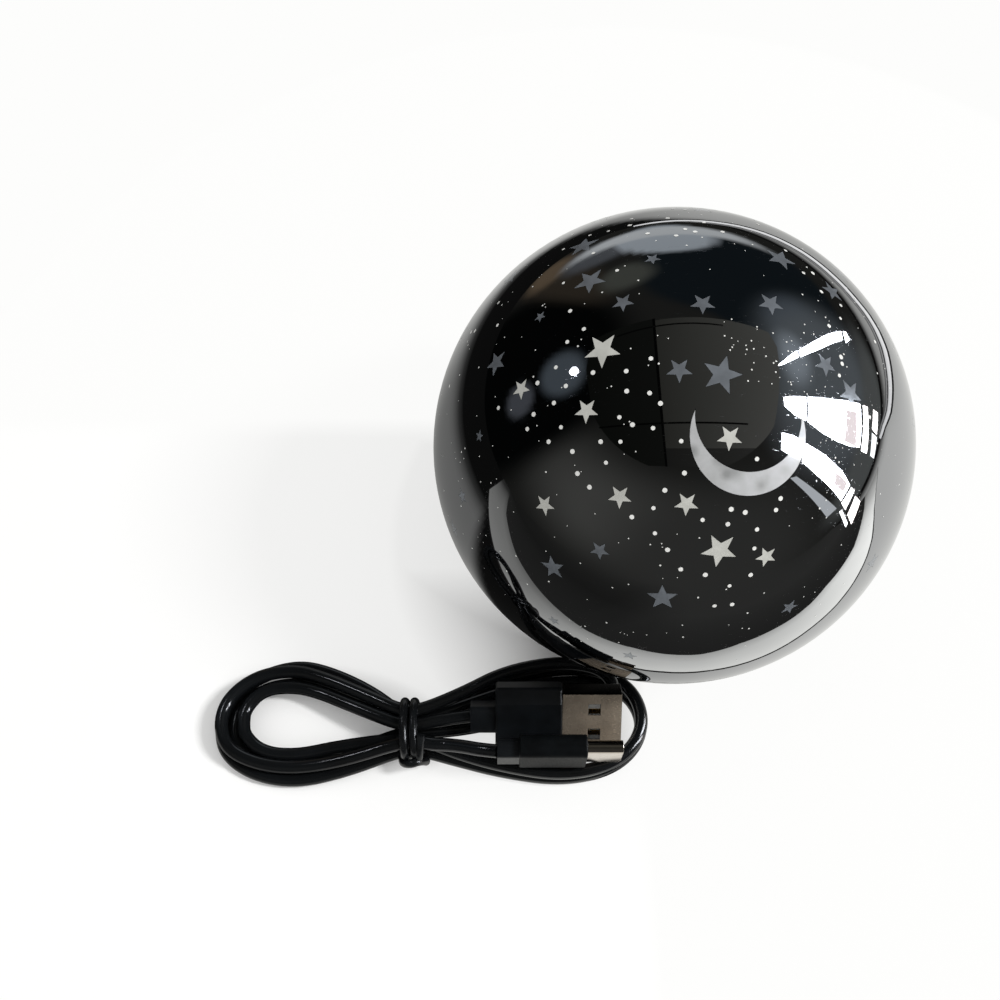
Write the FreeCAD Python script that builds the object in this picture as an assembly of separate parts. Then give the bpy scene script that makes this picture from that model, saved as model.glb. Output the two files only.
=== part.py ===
"""Ball-shaped star projector: a turning dome with star and moon windows over a fixed base bowl.

Millimetres, +Z up. The origin is on the table under the middle of the ball, and the front is -Y.
The base holds the lamp on a hollow post, the geared motor, the board with its socket and the two
buttons. The dome turns on the post, driven by a pinion in its ring gear. A USB lead lies beside it.
"""

import FreeCAD, Part
import math
import os

os.makedirs("parts", exist_ok=True)
V = FreeCAD.Vector
UP = V(0, 0, 1)

# ---- ball ----------------------------------------------------------------------------------
ball_radius = 44.0  # outside of the dome and of the bowl
bottom_cut = 8.5  # height of the slice of the ball that the flat bottom leaves out
rim_drop = 0.2  # the dome's edge below the plate that carries the dome
seam_gap = 0.4  # running gap between the bowl's rim and the dome's rim
dome_wall = 1.6
bowl_wall = 2.0
skin = 0.5  # ribs inside the bowl stop this far behind its outer surface
face_gap = 0.1  # between faces that seat on each other without a fit
running_clearance = 0.05  # radial, shaft in hole
loose_clearance = 0.3  # round a piece that drops into place
over = 1.0  # a cutting solid runs this far past what it cuts

# ---- bottom --------------------------------------------------------------------------------
foot_height = 1.5  # underside of the bowl above the table
foot_radius = 3.5
foot_recess = 0.5
foot_inset = 5.0  # each foot's middle inside the cover's edge
foot_count = 4
cover_radius = 22.0
cover_thickness = 2.0
cover_flange_thickness = 1.5
cover_flange_gap = 1.4  # from the middle of the motor's leads, which dip inside it
cover_boss_radius = 2.4
cover_boss_end = 0.6  # solid above the screw's hole
cover_screw_inset = 3.4  # each screw inside the cover's edge

# ---- screws --------------------------------------------------------------------------------
screw_radius = 1.0
screw_head_radius = 1.9
screw_head_height = 1.0
screw_length = 4.5  # under the head
post_screw_length = 2.8
motor_screw_length = 3.3
gear_screw_length = 3.4
screw_socket_radius = 0.6
screw_socket_depth = 0.5
screw_hole_gap = 0.1  # radial, round a shank that passes through
screw_head_gap = 0.2  # radial, round a sunk head

# ---- deck ----------------------------------------------------------------------------------
deck_thickness = 2.0
deck_ledge_width = 2.6
deck_ledge_height = 2.0
deck_edge_gap = 0.4
deck_screw_count = 4
deck_screw_first = 35.0  # degrees from +X
deck_boss_radius = 2.6
deck_boss_height = 6.0

# ---- lamp post and turning hub -------------------------------------------------------------
post_radius = 5.0
post_bore_radius = 3.0
post_flange_radius = 12.4
post_flange_thickness = 1.2
post_screw_count = 3
post_screw_circle = 10.3
washer_thickness = 0.7
washer_radius = 8.0
hub_radius = 8.0
hub_height = 6.0
clip_thickness = 0.6
clip_radius = 7.6
clip_groove_depth = 0.9
clip_mouth = 6.3
carrier_lift = 3.1  # underside of the dome's carrier plate above the thrust washer
carrier_thickness = 2.0
carrier_edge_gap = 0.3
lug_count = 3
lug_width = 9.0
lug_thickness = 1.5
lug_reach = 4.6  # from the dome's inner wall inwards
hook_thickness = 1.3
hook_overlap = 2.0
hook_stem = 2.2

# ---- gears ---------------------------------------------------------------------------------
gear_module = 0.8
ring_teeth = 60
pinion_teeth = 12
pressure_angle = 20.0
pinion_addendum = 0.85  # these four are shares of the module
pinion_dedendum = 1.1
ring_addendum = 0.7
ring_dedendum = 1.2
gear_backlash = 0.16  # total, along the pitch circle
ring_face_width = 3.2
ring_rim = 2.6  # from the roots to the outside
pinion_face_width = 2.8
gear_screw_count = 3
gear_screw_first = 15.0  # degrees from +X
gear_screw_reach = 1.4  # from the ring's outside
gear_boss_radius = 2.6

# ---- motor ---------------------------------------------------------------------------------
motor_angle = 235.0  # about the post, from +X
motor_radius = 7.5
motor_height = 9.0
motor_cap_radius = 2.5
motor_cap_height = 1.0
motor_floor_gap = 0.5  # below the motor's cap
gearbox_height = 4.5
gearbox_floor = 1.0  # below the end of the motor's shaft
gearbox_ear_length = 10.4  # from the motor's axis to each ear's screw
gearbox_ear_width = 5.0
gearbox_ear_thickness = 1.4
motor_shaft_radius = 1.0
motor_shaft_room = 1.2  # radial, where the shaft passes the deck
motor_plug_width = 5.6
motor_plug_depth = 4.0
motor_plug_height = 3.4
motor_plug_side = 3.8  # to the left of the board's middle
motor_plug_inset = 2.6  # from the board's front edge
motor_wire_radius = 0.4
motor_wire_spacing = 1.8
motor_wire_reach = 5.6  # from the motor's axis towards the post
motor_wire_dip = 1.7

# ---- lamp ----------------------------------------------------------------------------------
lamp_sleeve_gap = 0.5  # between the clip and the holder's sleeve
lamp_sleeve_length = 2.3
lamp_sleeve_wall = 1.3
lamp_board_radius = 7.6
lamp_board_thickness = 1.2
lamp_holder_radius = 9.0
lamp_holder_wall = 1.2
led_size = 2.8
small_led_size = 2.2
led_height = 1.0
led_circle = 3.6
lens_height = 4.2
lens_wall = 0.8
wire_radius = 0.55
wire_spacing = 1.7

# ---- board, socket and buttons ----------------------------------------------------------------
board_drop = 6.0  # top of the board below the deck
board_thickness = 1.6
board_edge = 0.3  # beside the switches
board_motor_gap = 3.0
standoff_radius = 2.4
standoff_inset = 3.1  # from the board's sides
front_standoff_inset = 3.0
rear_standoff_inset = 8.1
chip_size = 5.0
chip_height = 1.2
chip_place = (-0.9, 13.7)  # from the board's middle line and its front edge
capacitor_radius = 1.6
capacitor_height = 3.4
capacitor_places = [(-7.6, 7.2), (-7.6, 12.2)]
panel_inset = 5.8  # flat inner face of the rear wall, behind the ball's surface
panel_width = 27.0
panel_below = 3.8
panel_deck_gap = 0.1
panel_room = 8.0  # kept free of the bowl's ledge in front of the panel
socket_width = 8.94
socket_height = 3.2
socket_length = 7.4
socket_wall = 0.3
socket_corner = 1.5
socket_floor = 1.5
socket_tongue_width = 6.6
socket_tongue_back = 1.0  # its tip behind the socket's mouth
socket_sink = 1.6  # mouth of the socket behind the ball's surface
port_width = 13.0
port_height = 7.6
port_corner = 2.0
button_spacing = 9.0  # each button's axis from the socket's
button_radius = 2.6
button_flange_radius = 3.3
button_flange_thickness = 0.8
button_proud = 0.7
button_travel = 0.5
button_gap = 0.2
switch_gap = 0.05  # between a pressed button and its switch
switch_width = 4.4
switch_depth = 3.2
switch_height = 3.4
switch_plunger_radius = 0.8
switch_plunger_length = 0.5

# ---- star and moon windows ---------------------------------------------------------------------
window_depth = 0.4
window_gap = 0.05
star_waist = 0.42  # a star's inner radius over its outer one
star_points = 5
moon_outer_radius = 9.0
moon_inner_radius = 8.3
moon_longitude = 15.5
moon_latitude = 60.8
moon_hole_longitude = 17.7
moon_hole_latitude = 64.4

# Each star: degrees round from the front towards +X, degrees up, width, turn.
BRIGHT_STARS = [
    (-67, 67, 5.7, 61),
    (-50, 57, 3.8, 41),
    (-73, 48, 3.4, 67),
    (-26, 46, 3.6, 19),
    (-7, 48, 3.6, 3),
    (7, 61, 3.8, 62),
    (3, 38.5, 5.5, 64),
    (15, 35.5, 3.4, 53),
    (-43.5, 36, 3.4, 37),
]
FAINT_STARS = [
    (-26, 33.5, 3.1, 19),
    (-35, 24, 4.2, 66),
    (-9, 26.5, 4.8, 45),
    (-43, 89, 3.8, 39),
    (92, 76.5, 4.2, 54),
    (-22, 73.5, 3.9, 20),
    (7.5, 73.5, 6.0, 12),
    (65.5, 62.5, 3.9, 7),
    (63, 54.5, 4.8, 14),
    (-95, 73.5, 3.4, 22),
    (-113, 65, 5.3, 35),
    (130, 66, 5.3, 27),
    (108, 58, 4.2, 20),
    (-143, 74, 2.6, 0),
    (-97, 55, 2.1, 18),
    (-87, 43, 4.4, 65),
    (-71, 33, 2.0, 9),
    (-65, 18, 2.7, 27),
    (46, 16, 3.5, 14),
    (-31, 8, 2.0, 0),
    (-13, 5, 2.4, 33),
    (21, 20, 3.0, 6),
]
# The rear and the right side carry more stars, spread evenly on a spiral.
spread_count = 58
spread_turn = 137.5
spread_first_longitude = 60.0
spread_last_longitude = 300.0
spread_low_latitude = -6.0
spread_high_latitude = 62.0
spread_sizes = [3.4, 4.8, 2.6, 3.9, 5.4]
star_spacing = 13.0  # least angle between a spread star and any other, in degrees

# ---- USB lead ----------------------------------------------------------------------------------
cord_diameter = 2.6
hank_height = 4.6
waist_x = -48.9
waist_front = -50.3
waist_back = -40.1
waist_length = 8.6
waist_bottom = 1.0
waist_top = 8.0
tie_width = 5.4
tie_wall = 0.8
tie_gap = 0.2
tie_corner = 1.6
HANK_OUTLINE = [
    (-48.9, -39.8), (-57.0, -35.6), (-66.0, -31.6), (-73.0, -30.3), (-81.0, -32.2), (-86.6, -37.4),
    (-88.2, -43.5), (-86.0, -49.6), (-79.5, -53.8), (-71.0, -55.2), (-61.0, -53.4), (-48.9, -50.0),
    (-40.0, -51.4), (-31.0, -53.6), (-20.0, -54.8), (-10.0, -52.8), (-4.2, -48.4), (-2.1, -42.3),
    (-4.6, -35.8), (-10.5, -31.8), (-19.0, -30.3), (-30.0, -32.4), (-40.0, -36.8),
]
LEFT_EYE = [
    (-54.8, -43.6), (-62.0, -40.6), (-70.0, -37.3), (-75.5, -36.7), (-80.2, -39.2), (-81.3, -43.0),
    (-79.0, -46.6), (-74.0, -48.3), (-66.0, -47.6), (-60.0, -45.6),
]
RIGHT_EYE = [
    (-43.6, -44.2), (-35.0, -41.0), (-26.0, -37.4), (-17.0, -36.4), (-9.0, -37.8), (-5.4, -42.0),
    (-6.0, -47.2), (-9.8, -50.1), (-17.0, -51.0), (-25.0, -50.8), (-34.0, -49.2),
]
# Routes of the two ends, from the tie to the plugs.
TAIL_A_ROUTE = [(-44.6, -43.7, 6.6), (-42.1, -43.6, 6.75), (-39.6, -43.2, 7.05), (-37.2, -43.0, 7.2)]
TAIL_C_ROUTE = [
    (-44.6, -48.4, 6.6), (-41.6, -48.65, 7.4), (-38.4, -49.4, 8.9), (-35.2, -50.4, 10.4),
    (-32.0, -50.9, 11.2),
]
route_run_share = 0.45  # share of the shorter run that a bend may take

plug_a_roll = 45.0  # far edge up
plug_a_relief_length = 4.8
plug_a_relief_width = 5.6
plug_a_relief_height = 4.6
plug_a_relief_corner = 1.2
plug_a_grip_length = 12.9
plug_a_grip_width = 13.6
plug_a_grip_height = 6.0
plug_a_grip_corner = 0.6
plug_a_chamfer = 1.4
plug_a_shell_length = 11.4
plug_a_shell_width = 12.0
plug_a_shell_height = 4.5
plug_a_shell_corner = 0.4
plug_wall = 0.3
plug_a_window = 2.3
plug_a_window_spacing = 5.2
plug_a_window_place = 5.0  # from the grip
plug_a_tongue_width = 10.8
plug_a_tongue_height = 1.9
plug_a_tongue_back = 0.6  # its tip behind the shell's mouth
plug_a_contact_width = 1.0
plug_a_contact_spacing = 2.3
plug_a_contact_back = 2.0
plug_c_relief_length = 4.1
plug_c_relief_width = 7.0
plug_c_relief_height = 3.8
plug_c_relief_corner = 1.4
plug_c_grip_length = 12.6
plug_c_grip_width = 10.0
plug_c_grip_height = 4.4
plug_c_grip_corner = 1.7
plug_c_shell_length = 6.65
plug_c_shell_width = 8.34
plug_c_shell_height = 2.5
plug_c_shell_corner = 1.24
plug_c_floor = 2.0
plug_c_lip_width = 5.6
plug_c_lip_thickness = 0.35
plug_c_lip_back = 0.8
socket_tongue_height = 0.7
contact_thickness = 0.15
contact_reach = 6.0

# ---- heights and radii that follow ----------------------------------------------------------------
ball_centre_height = foot_height + ball_radius - bottom_cut
ball_centre = V(0, 0, ball_centre_height)
dome_inner_radius = ball_radius - dome_wall
bowl_inner_radius = ball_radius - bowl_wall
foot_circle = cover_radius - foot_inset
cover_screw_circle = cover_radius - cover_screw_inset
cover_top = foot_height + cover_thickness
flange_top = cover_top + cover_flange_thickness
cover_screw_seat = foot_height + screw_head_height + face_gap
cover_boss_hole = cover_screw_seat + screw_length + loose_clearance - cover_top
motor_bottom = flange_top + motor_floor_gap + motor_cap_height
gearbox_bottom = motor_bottom + motor_height
deck_height = gearbox_bottom + gearbox_height  # underside
deck_top = deck_height + deck_thickness
board_top = deck_height - board_drop
board_bottom = board_top - board_thickness
board_width = 2 * (button_spacing + switch_width / 2 + board_edge)
standoff_hole = screw_length - board_thickness + loose_clearance
socket_axis_height = board_top + socket_height / 2
washer_bottom = deck_top + post_flange_thickness
hub_bottom = washer_bottom + washer_thickness + running_clearance
hub_top = hub_bottom + hub_height
clip_bottom = hub_top + running_clearance
carrier_bottom = washer_bottom + washer_thickness + carrier_lift
carrier_top = carrier_bottom + carrier_thickness
dome_edge = carrier_bottom - rim_drop
bowl_edge = dome_edge - seam_gap
lamp_sleeve_bottom = clip_bottom + clip_thickness + lamp_sleeve_gap
post_top = lamp_sleeve_bottom + lamp_sleeve_length
lamp_board_bottom = post_top + lamp_holder_wall
lamp_board_top = lamp_board_bottom + lamp_board_thickness
ring_pitch_radius = gear_module * ring_teeth / 2
pinion_pitch_radius = gear_module * pinion_teeth / 2
gear_distance = ring_pitch_radius - pinion_pitch_radius
ring_gear_radius = ring_pitch_radius + ring_dedendum * gear_module + ring_rim
ring_gear_bottom = carrier_bottom - ring_face_width
pinion_bottom = ring_gear_bottom - face_gap
gear_screw_seat = ring_gear_bottom + screw_head_height + face_gap
motor_x = gear_distance * math.cos(math.radians(motor_angle))
motor_y = gear_distance * math.sin(math.radians(motor_angle))


def level_radius(sphere_radius, height):
    """Radius of the ball-centred sphere at a height above the table."""
    return math.sqrt(sphere_radius ** 2 - (height - ball_centre_height) ** 2)


surface_y = level_radius(ball_radius, socket_axis_height)
panel_y = surface_y - panel_inset
socket_mouth_y = surface_y - socket_sink
button_flange_rear = panel_y - face_gap - button_flange_thickness  # at rest
board_rear = button_flange_rear - button_travel - loose_clearance
board_front = motor_y + motor_radius + board_motor_gap
ledge_radius = level_radius(bowl_inner_radius, deck_height - deck_ledge_height) - deck_ledge_width
deck_radius = level_radius(bowl_inner_radius, deck_height) - deck_edge_gap
deck_screw_circle = ledge_radius - screw_radius


# ---- helpers ------------------------------------------------------------------------------------
def save(name, shape):
    """Write one node; a list is a group of separate solids."""
    if isinstance(shape, list):
        shape = Part.makeCompound(shape)
    shape.exportStep("parts/" + name + ".step")


def disc(radius, bottom, height, x=0.0, y=0.0):
    return Part.makeCylinder(radius, height, V(x, y, bottom))


def tube(outer, inner, bottom, height, x=0.0, y=0.0):
    return disc(outer, bottom, height, x, y).cut(disc(inner, bottom, height, x, y))


def block(x0, x1, y0, y1, z0, z1):
    return Part.makeBox(x1 - x0, y1 - y0, z1 - z0, V(x0, y0, z0))


def ball(radius):
    """Sphere about the ball's middle, with its poles on the X axis and its seam below."""
    solid = Part.makeSphere(radius, ball_centre)
    solid.rotate(ball_centre, V(0, 1, 0), 90)
    return solid


def around(count, radius, first=0.0):
    """Places on a circle about the post."""
    step = 360.0 / count
    angles = [math.radians(first + step * k) for k in range(count)]
    return [(radius * math.cos(a), radius * math.sin(a)) for a in angles]


def screw(x, y, seat, direction, length=screw_length):
    """Pan-head screw: seat is the height under its head, direction is the way its shank points."""
    shank_low = seat if direction > 0 else seat - length
    head_low = seat - screw_head_height if direction > 0 else seat
    solid = disc(screw_radius, shank_low, length, x, y)
    solid = solid.fuse(disc(screw_head_radius, head_low, screw_head_height, x, y)).removeSplitter()
    if direction > 0:
        socket = disc(screw_socket_radius, head_low, screw_socket_depth, x, y)
    else:
        top = head_low + screw_head_height
        socket = disc(screw_socket_radius, top - screw_socket_depth, screw_socket_depth, x, y)
    return solid.cut(socket)


def round_box(x0, length, width, height, corner, at_y=0.0, at_z=0.0):
    """Bar along +X with a rounded-rectangle section."""
    corner = min(corner, width / 2 - 0.01, height / 2 - 0.01)
    w = width / 2
    h = height / 2
    c = corner
    k = c * (1 - math.sqrt(0.5))
    spots = [(w - c, -h), (w - k, -h + k), (w, -h + c), (w, h - c), (w - k, h - k), (w - c, h)]
    spots += [(-a, -b) for a, b in spots]
    pts = [V(x0, at_y + a, at_z + b) for a, b in spots]
    edges = []
    for start in (0, 3, 6, 9):
        edges.append(Part.Arc(pts[start], pts[start + 1], pts[start + 2]).toShape())
        edges.append(Part.makeLine(pts[start + 2], pts[(start + 3) % 12]))
    return Part.Face(Part.Wire(edges)).extrude(V(length, 0, 0))


def outline_solid(points, bottom, height):
    """Solid under a smooth closed outline."""
    curve = Part.BSplineCurve()
    curve.interpolate([V(x, y, bottom) for x, y in points], PeriodicFlag=True)
    return Part.Face(Part.Wire(curve.toShape())).extrude(V(0, 0, height))


# ---- base ---------------------------------------------------------------------------------------
def cover_boss_places():
    return around(4, cover_screw_circle, 0.0)


def deck_boss_places():
    return around(deck_screw_count, deck_screw_circle, deck_screw_first)


def button_places():
    return [-button_spacing, button_spacing]


def make_base_shell():
    """Bowl with a flange for the cover, a ledge for the deck and a flat rear panel."""
    shell = ball(ball_radius).cut(ball(bowl_inner_radius))
    size = 2 * ball_radius
    band = block(-size, size, -size, size, foot_height, bowl_edge)
    shell = shell.common(band)
    flange_inner = gear_distance - motor_wire_reach + cover_flange_gap
    flange_outer = level_radius(ball_radius, cover_top) - skin
    flange = tube(flange_outer, flange_inner, cover_top, cover_flange_thickness)
    shell = shell.fuse(flange.common(ball(ball_radius - skin)))
    ledge_low = deck_height - deck_ledge_height
    ledge = tube(level_radius(ball_radius, ledge_low) - skin, ledge_radius, ledge_low, deck_ledge_height)
    shell = shell.fuse(ledge.common(ball(ball_radius - skin)))
    for x, y in cover_boss_places():
        boss = disc(cover_boss_radius, cover_top, cover_boss_hole + cover_boss_end, x, y)
        shell = shell.fuse(boss)
    for x, y in deck_boss_places():
        out = math.hypot(x, y)
        angle = math.degrees(math.atan2(y, x))
        boss = disc(deck_boss_radius, deck_height - deck_boss_height, deck_boss_height, x, y)
        half = deck_boss_radius
        web = block(out, size, -half, half, deck_height - deck_boss_height, deck_height)
        web.rotate(V(0, 0, 0), UP, angle)
        shell = shell.fuse(boss).fuse(web.common(ball(ball_radius - skin)))
    low = socket_axis_height - panel_below
    high = deck_height - panel_deck_gap
    half = panel_width / 2
    panel = block(-half, half, panel_y, size, low, high).common(ball(ball_radius - skin))
    room = block(-half, half, panel_y - panel_room, panel_y, low, high)
    shell = shell.fuse(panel).cut(room)
    shell = shell.cut(disc(cover_radius + loose_clearance, foot_height - over, cover_thickness + over))
    for x, y in cover_boss_places():
        shell = shell.cut(disc(screw_radius, cover_top, cover_boss_hole, x, y))
    for x, y in deck_boss_places():
        shell = shell.cut(disc(screw_radius, deck_height - screw_length, screw_length, x, y))
    port = round_box(0, size, port_width, port_height, port_corner)
    port.rotate(V(0, 0, 0), UP, 90)
    port.translate(V(0, socket_mouth_y, socket_axis_height))
    shell = shell.cut(port)
    slot_width = socket_width + 2 * face_gap
    slot = round_box(0, 2 * panel_inset, slot_width, socket_height + 2 * face_gap, socket_corner)
    slot.rotate(V(0, 0, 0), UP, 90)
    slot.translate(V(0, panel_y - over, socket_axis_height))
    shell = shell.cut(slot)
    for x in button_places():
        spot = V(x, panel_y - over, socket_axis_height)
        hole = Part.makeCylinder(button_radius + button_gap, ball_radius, spot, V(0, 1, 0))
        shell = shell.cut(hole)
    return shell.removeSplitter()


def foot_places():
    return around(foot_count, foot_circle, 45.0)


def make_bottom_cover():
    cover = disc(cover_radius, foot_height, cover_thickness)
    for x, y in foot_places():
        cover = cover.cut(disc(foot_radius + face_gap, foot_height - over, over + foot_recess, x, y))
    for x, y in cover_boss_places():
        recess = screw_head_height + face_gap
        sink = disc(screw_head_radius + screw_head_gap, foot_height - over, over + recess, x, y)
        cover = cover.cut(sink).cut(disc(screw_radius + screw_hole_gap, foot_height, cover_thickness, x, y))
    return cover


def make_foot_pads():
    pads = []
    for x, y in foot_places():
        pad = disc(foot_radius, 0, foot_height + foot_recess, x, y)
        pads.append(pad.makeFillet(0.4, [pad.Edges[2]]))
    return pads


def make_deck():
    """Plate on the bowl's ledge, with the board's standoffs below it."""
    deck = disc(deck_radius, deck_height, deck_thickness)
    for x, y in standoff_places():
        deck = deck.fuse(disc(standoff_radius, board_top, board_drop, x, y))
    deck = deck.cut(disc(post_bore_radius, deck_height, deck_thickness))
    shaft_hole = motor_shaft_radius + motor_shaft_room
    deck = deck.cut(disc(shaft_hole, deck_height, deck_thickness, motor_x, motor_y))
    for x, y in deck_boss_places() + gearbox_ear_places():
        deck = deck.cut(disc(screw_radius + screw_hole_gap, deck_height, deck_thickness, x, y))
    for x, y in post_screw_places():
        deck = deck.cut(disc(screw_radius, deck_height, deck_thickness, x, y))
    for x, y in standoff_places():
        deck = deck.cut(disc(screw_radius, board_top, standoff_hole, x, y))
    return deck.removeSplitter()


def post_screw_places():
    return around(post_screw_count, post_screw_circle, 90.0)


def make_lamp_post():
    post = disc(post_flange_radius, deck_top, post_flange_thickness)
    post = post.fuse(disc(post_radius, deck_top, post_top - deck_top))
    post = post.cut(disc(post_bore_radius, deck_top, post_top - deck_top))
    groove_height = clip_thickness + face_gap
    groove = tube(post_radius + over, post_radius - clip_groove_depth, clip_bottom, groove_height)
    post = post.cut(groove)
    for x, y in post_screw_places():
        post = post.cut(disc(screw_radius + screw_hole_gap, deck_top, post_flange_thickness, x, y))
    return post.removeSplitter()


def make_retaining_clip():
    """Open ring in the post's groove."""
    inner = post_radius - clip_groove_depth + face_gap
    clip = tube(clip_radius, inner, clip_bottom, clip_thickness)
    half = clip_mouth / 2
    return clip.cut(block(0, clip_radius + over, -half, half, clip_bottom, clip_bottom + clip_thickness))


def make_lamp_holder():
    """Cup on the post's top that carries the lamp's board."""
    holder = disc(lamp_holder_radius, post_top, lamp_holder_wall)
    holder = holder.fuse(disc(post_radius + lamp_sleeve_wall, lamp_sleeve_bottom, lamp_sleeve_length))
    rim_height = lamp_board_top - post_top
    holder = holder.fuse(tube(lamp_holder_radius, lamp_board_radius + face_gap, post_top, rim_height))
    holder = holder.cut(disc(post_radius, lamp_sleeve_bottom, lamp_sleeve_length))
    holder = holder.cut(disc(post_bore_radius, post_top, lamp_holder_wall))
    return holder.removeSplitter()


def make_lamp_board():
    return disc(lamp_board_radius, lamp_board_bottom, lamp_board_thickness)


def make_lamp_leds():
    leds = []
    for x, y in [(0.0, 0.0)] + around(3, led_circle, 90.0):
        half = (led_size if (x, y) == (0.0, 0.0) else small_led_size) / 2
        high = lamp_board_top + led_height
        leds.append(block(x - half, x + half, y - half, y + half, lamp_board_top, high))
    return leds


def make_lamp_lens():
    """Clear cap over the lamp."""
    outer = lamp_holder_radius
    sphere_radius = (outer ** 2 + lens_height ** 2) / (2 * lens_height)
    middle = V(0, 0, lamp_board_top + lens_height - sphere_radius)
    cap = Part.makeSphere(sphere_radius, middle).cut(Part.makeSphere(sphere_radius - lens_wall, middle))
    low = block(-outer, outer, -outer, outer, lamp_board_top, lamp_board_top + 2 * lens_height)
    return cap.common(low)


def make_lamp_wires():
    spots = [-wire_spacing / 2, wire_spacing / 2]
    return [disc(wire_radius, board_top, lamp_board_bottom - board_top, x, 0) for x in spots]


# ---- board, socket and switches ----------------------------------------------------------------
def standoff_places():
    side = board_width / 2 - standoff_inset
    rear = board_rear - rear_standoff_inset
    return [(-side, rear), (side, rear), (side, board_front + front_standoff_inset)]


def make_main_board():
    half = board_width / 2
    board = block(-half, half, board_front, board_rear, board_bottom, board_top)
    for x, y in standoff_places():
        board = board.cut(disc(screw_radius + screw_hole_gap, board_bottom, board_thickness, x, y))
    return board


def under_board(x, y, width, depth, height):
    """Block on the board's underside, about a place."""
    low = board_bottom - height
    return block(x - width / 2, x + width / 2, y - depth / 2, y + depth / 2, low, board_bottom)


def make_board_parts():
    """Control chip, two capacitors and the motor's plug."""
    x, y = chip_place
    chip = under_board(x, board_front + y, chip_size, chip_size, chip_height)
    low = board_bottom - capacitor_height
    caps = [disc(capacitor_radius, low, capacitor_height, x, board_front + y) for x, y in capacitor_places]
    x, y = motor_plug_place()
    return [chip] + caps + [under_board(x, y, motor_plug_width, motor_plug_depth, motor_plug_height)]


def make_usb_socket_shell():
    start = socket_mouth_y - socket_length
    shell = round_box(0, socket_length, socket_width, socket_height, socket_corner)
    inner_w = socket_width - 2 * socket_wall
    inner_h = socket_height - 2 * socket_wall
    inner_corner = socket_corner - socket_wall
    shell = shell.cut(round_box(socket_wall, socket_length, inner_w, inner_h, inner_corner))
    shell.rotate(V(0, 0, 0), UP, 90)
    shell.translate(V(0, start, socket_axis_height))
    return shell


def make_usb_socket_tongue():
    start = socket_mouth_y - socket_length + socket_wall
    low = socket_axis_height - socket_tongue_height / 2
    half = socket_tongue_width / 2
    tip = socket_mouth_y - socket_tongue_back
    tongue = block(-half, half, start, tip, low, low + socket_tongue_height)
    inner_w = socket_width - 2 * socket_wall
    inner_h = socket_height - 2 * socket_wall
    foot = round_box(0, socket_floor, inner_w, inner_h, socket_corner - socket_wall)
    foot.rotate(V(0, 0, 0), UP, 90)
    foot.translate(V(0, start, socket_axis_height))
    return tongue.fuse(foot).removeSplitter()


def make_switches():
    tip = button_flange_rear - button_travel - switch_gap
    switches = []
    for x in button_places():
        front = tip - switch_plunger_length - switch_depth
        rear = tip - switch_plunger_length
        half = switch_width / 2
        body = block(x - half, x + half, front, rear, board_top, board_top + switch_height)
        plunger = Part.makeCylinder(
            switch_plunger_radius, switch_plunger_length, V(x, rear, socket_axis_height), V(0, 1, 0)
        )
        switches.append(body.fuse(plunger))
    return switches


def make_button(x):
    """Round button whose face follows the ball."""
    spot = V(x, button_flange_rear, socket_axis_height)
    stem = Part.makeCylinder(button_radius, ball_radius, spot, V(0, 1, 0))
    stem = stem.common(ball(ball_radius + button_proud))
    flange = Part.makeCylinder(button_flange_radius, button_flange_thickness, spot, V(0, 1, 0))
    return stem.fuse(flange).removeSplitter()


# ---- motor and gears ----------------------------------------------------------------------------
def gearbox_ear_places():
    """The ears lie square to the line from the post to the motor."""
    angle = math.radians(motor_angle + 90)
    reach = gearbox_ear_length
    return [(motor_x + s * reach * math.cos(angle), motor_y + s * reach * math.sin(angle)) for s in (-1, 1)]


def make_motor():
    can = disc(motor_radius, motor_bottom, motor_height, motor_x, motor_y)
    cap = disc(motor_cap_radius, motor_bottom - motor_cap_height, motor_cap_height, motor_x, motor_y)
    return can.fuse(cap).removeSplitter()


def make_gearbox():
    low = deck_height - gearbox_ear_thickness
    box = disc(motor_radius, gearbox_bottom, gearbox_height, motor_x, motor_y)
    half = gearbox_ear_width / 2
    ears = block(-gearbox_ear_length, gearbox_ear_length, -half, half, low, deck_height)
    ears.rotate(V(0, 0, 0), UP, motor_angle + 90)
    ears.translate(V(motor_x, motor_y, 0))
    box = box.fuse(ears)
    for x, y in gearbox_ear_places():
        box = box.fuse(disc(gearbox_ear_width / 2, low, gearbox_ear_thickness, x, y))
    for x, y in gearbox_ear_places():
        box = box.cut(disc(screw_radius, low, gearbox_ear_thickness, x, y))
    hole = motor_shaft_radius + running_clearance
    depth = gearbox_height - gearbox_floor
    return box.cut(disc(hole, gearbox_bottom + gearbox_floor, depth, motor_x, motor_y)).removeSplitter()


def motor_plug_place():
    return -motor_plug_side, board_front + motor_plug_inset


def make_motor_wires():
    """Two leads from the motor's underside to its plug below the board."""
    inward = math.radians(motor_angle + 180)
    plug_x, plug_y = motor_plug_place()
    dip = V(0, 0, -motor_wire_dip)
    wires = []
    for side in (-motor_wire_spacing / 2, motor_wire_spacing / 2):
        x = motor_x + motor_wire_reach * math.cos(inward) - side * math.sin(inward)
        y = motor_y + motor_wire_reach * math.sin(inward) + side * math.cos(inward)
        start = V(x, y, motor_bottom)
        end = V(plug_x + side, plug_y, board_bottom - motor_plug_height)
        across = V(end.x, end.y, motor_bottom)
        wires.append(round_tube([start, start + dip, across + dip, end], motor_wire_radius))
    return wires


def involute_angle(base_radius, radius):
    ratio = max(radius / base_radius, 1.0)
    roll = math.sqrt(ratio ** 2 - 1)
    return roll - math.atan(roll)


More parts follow.
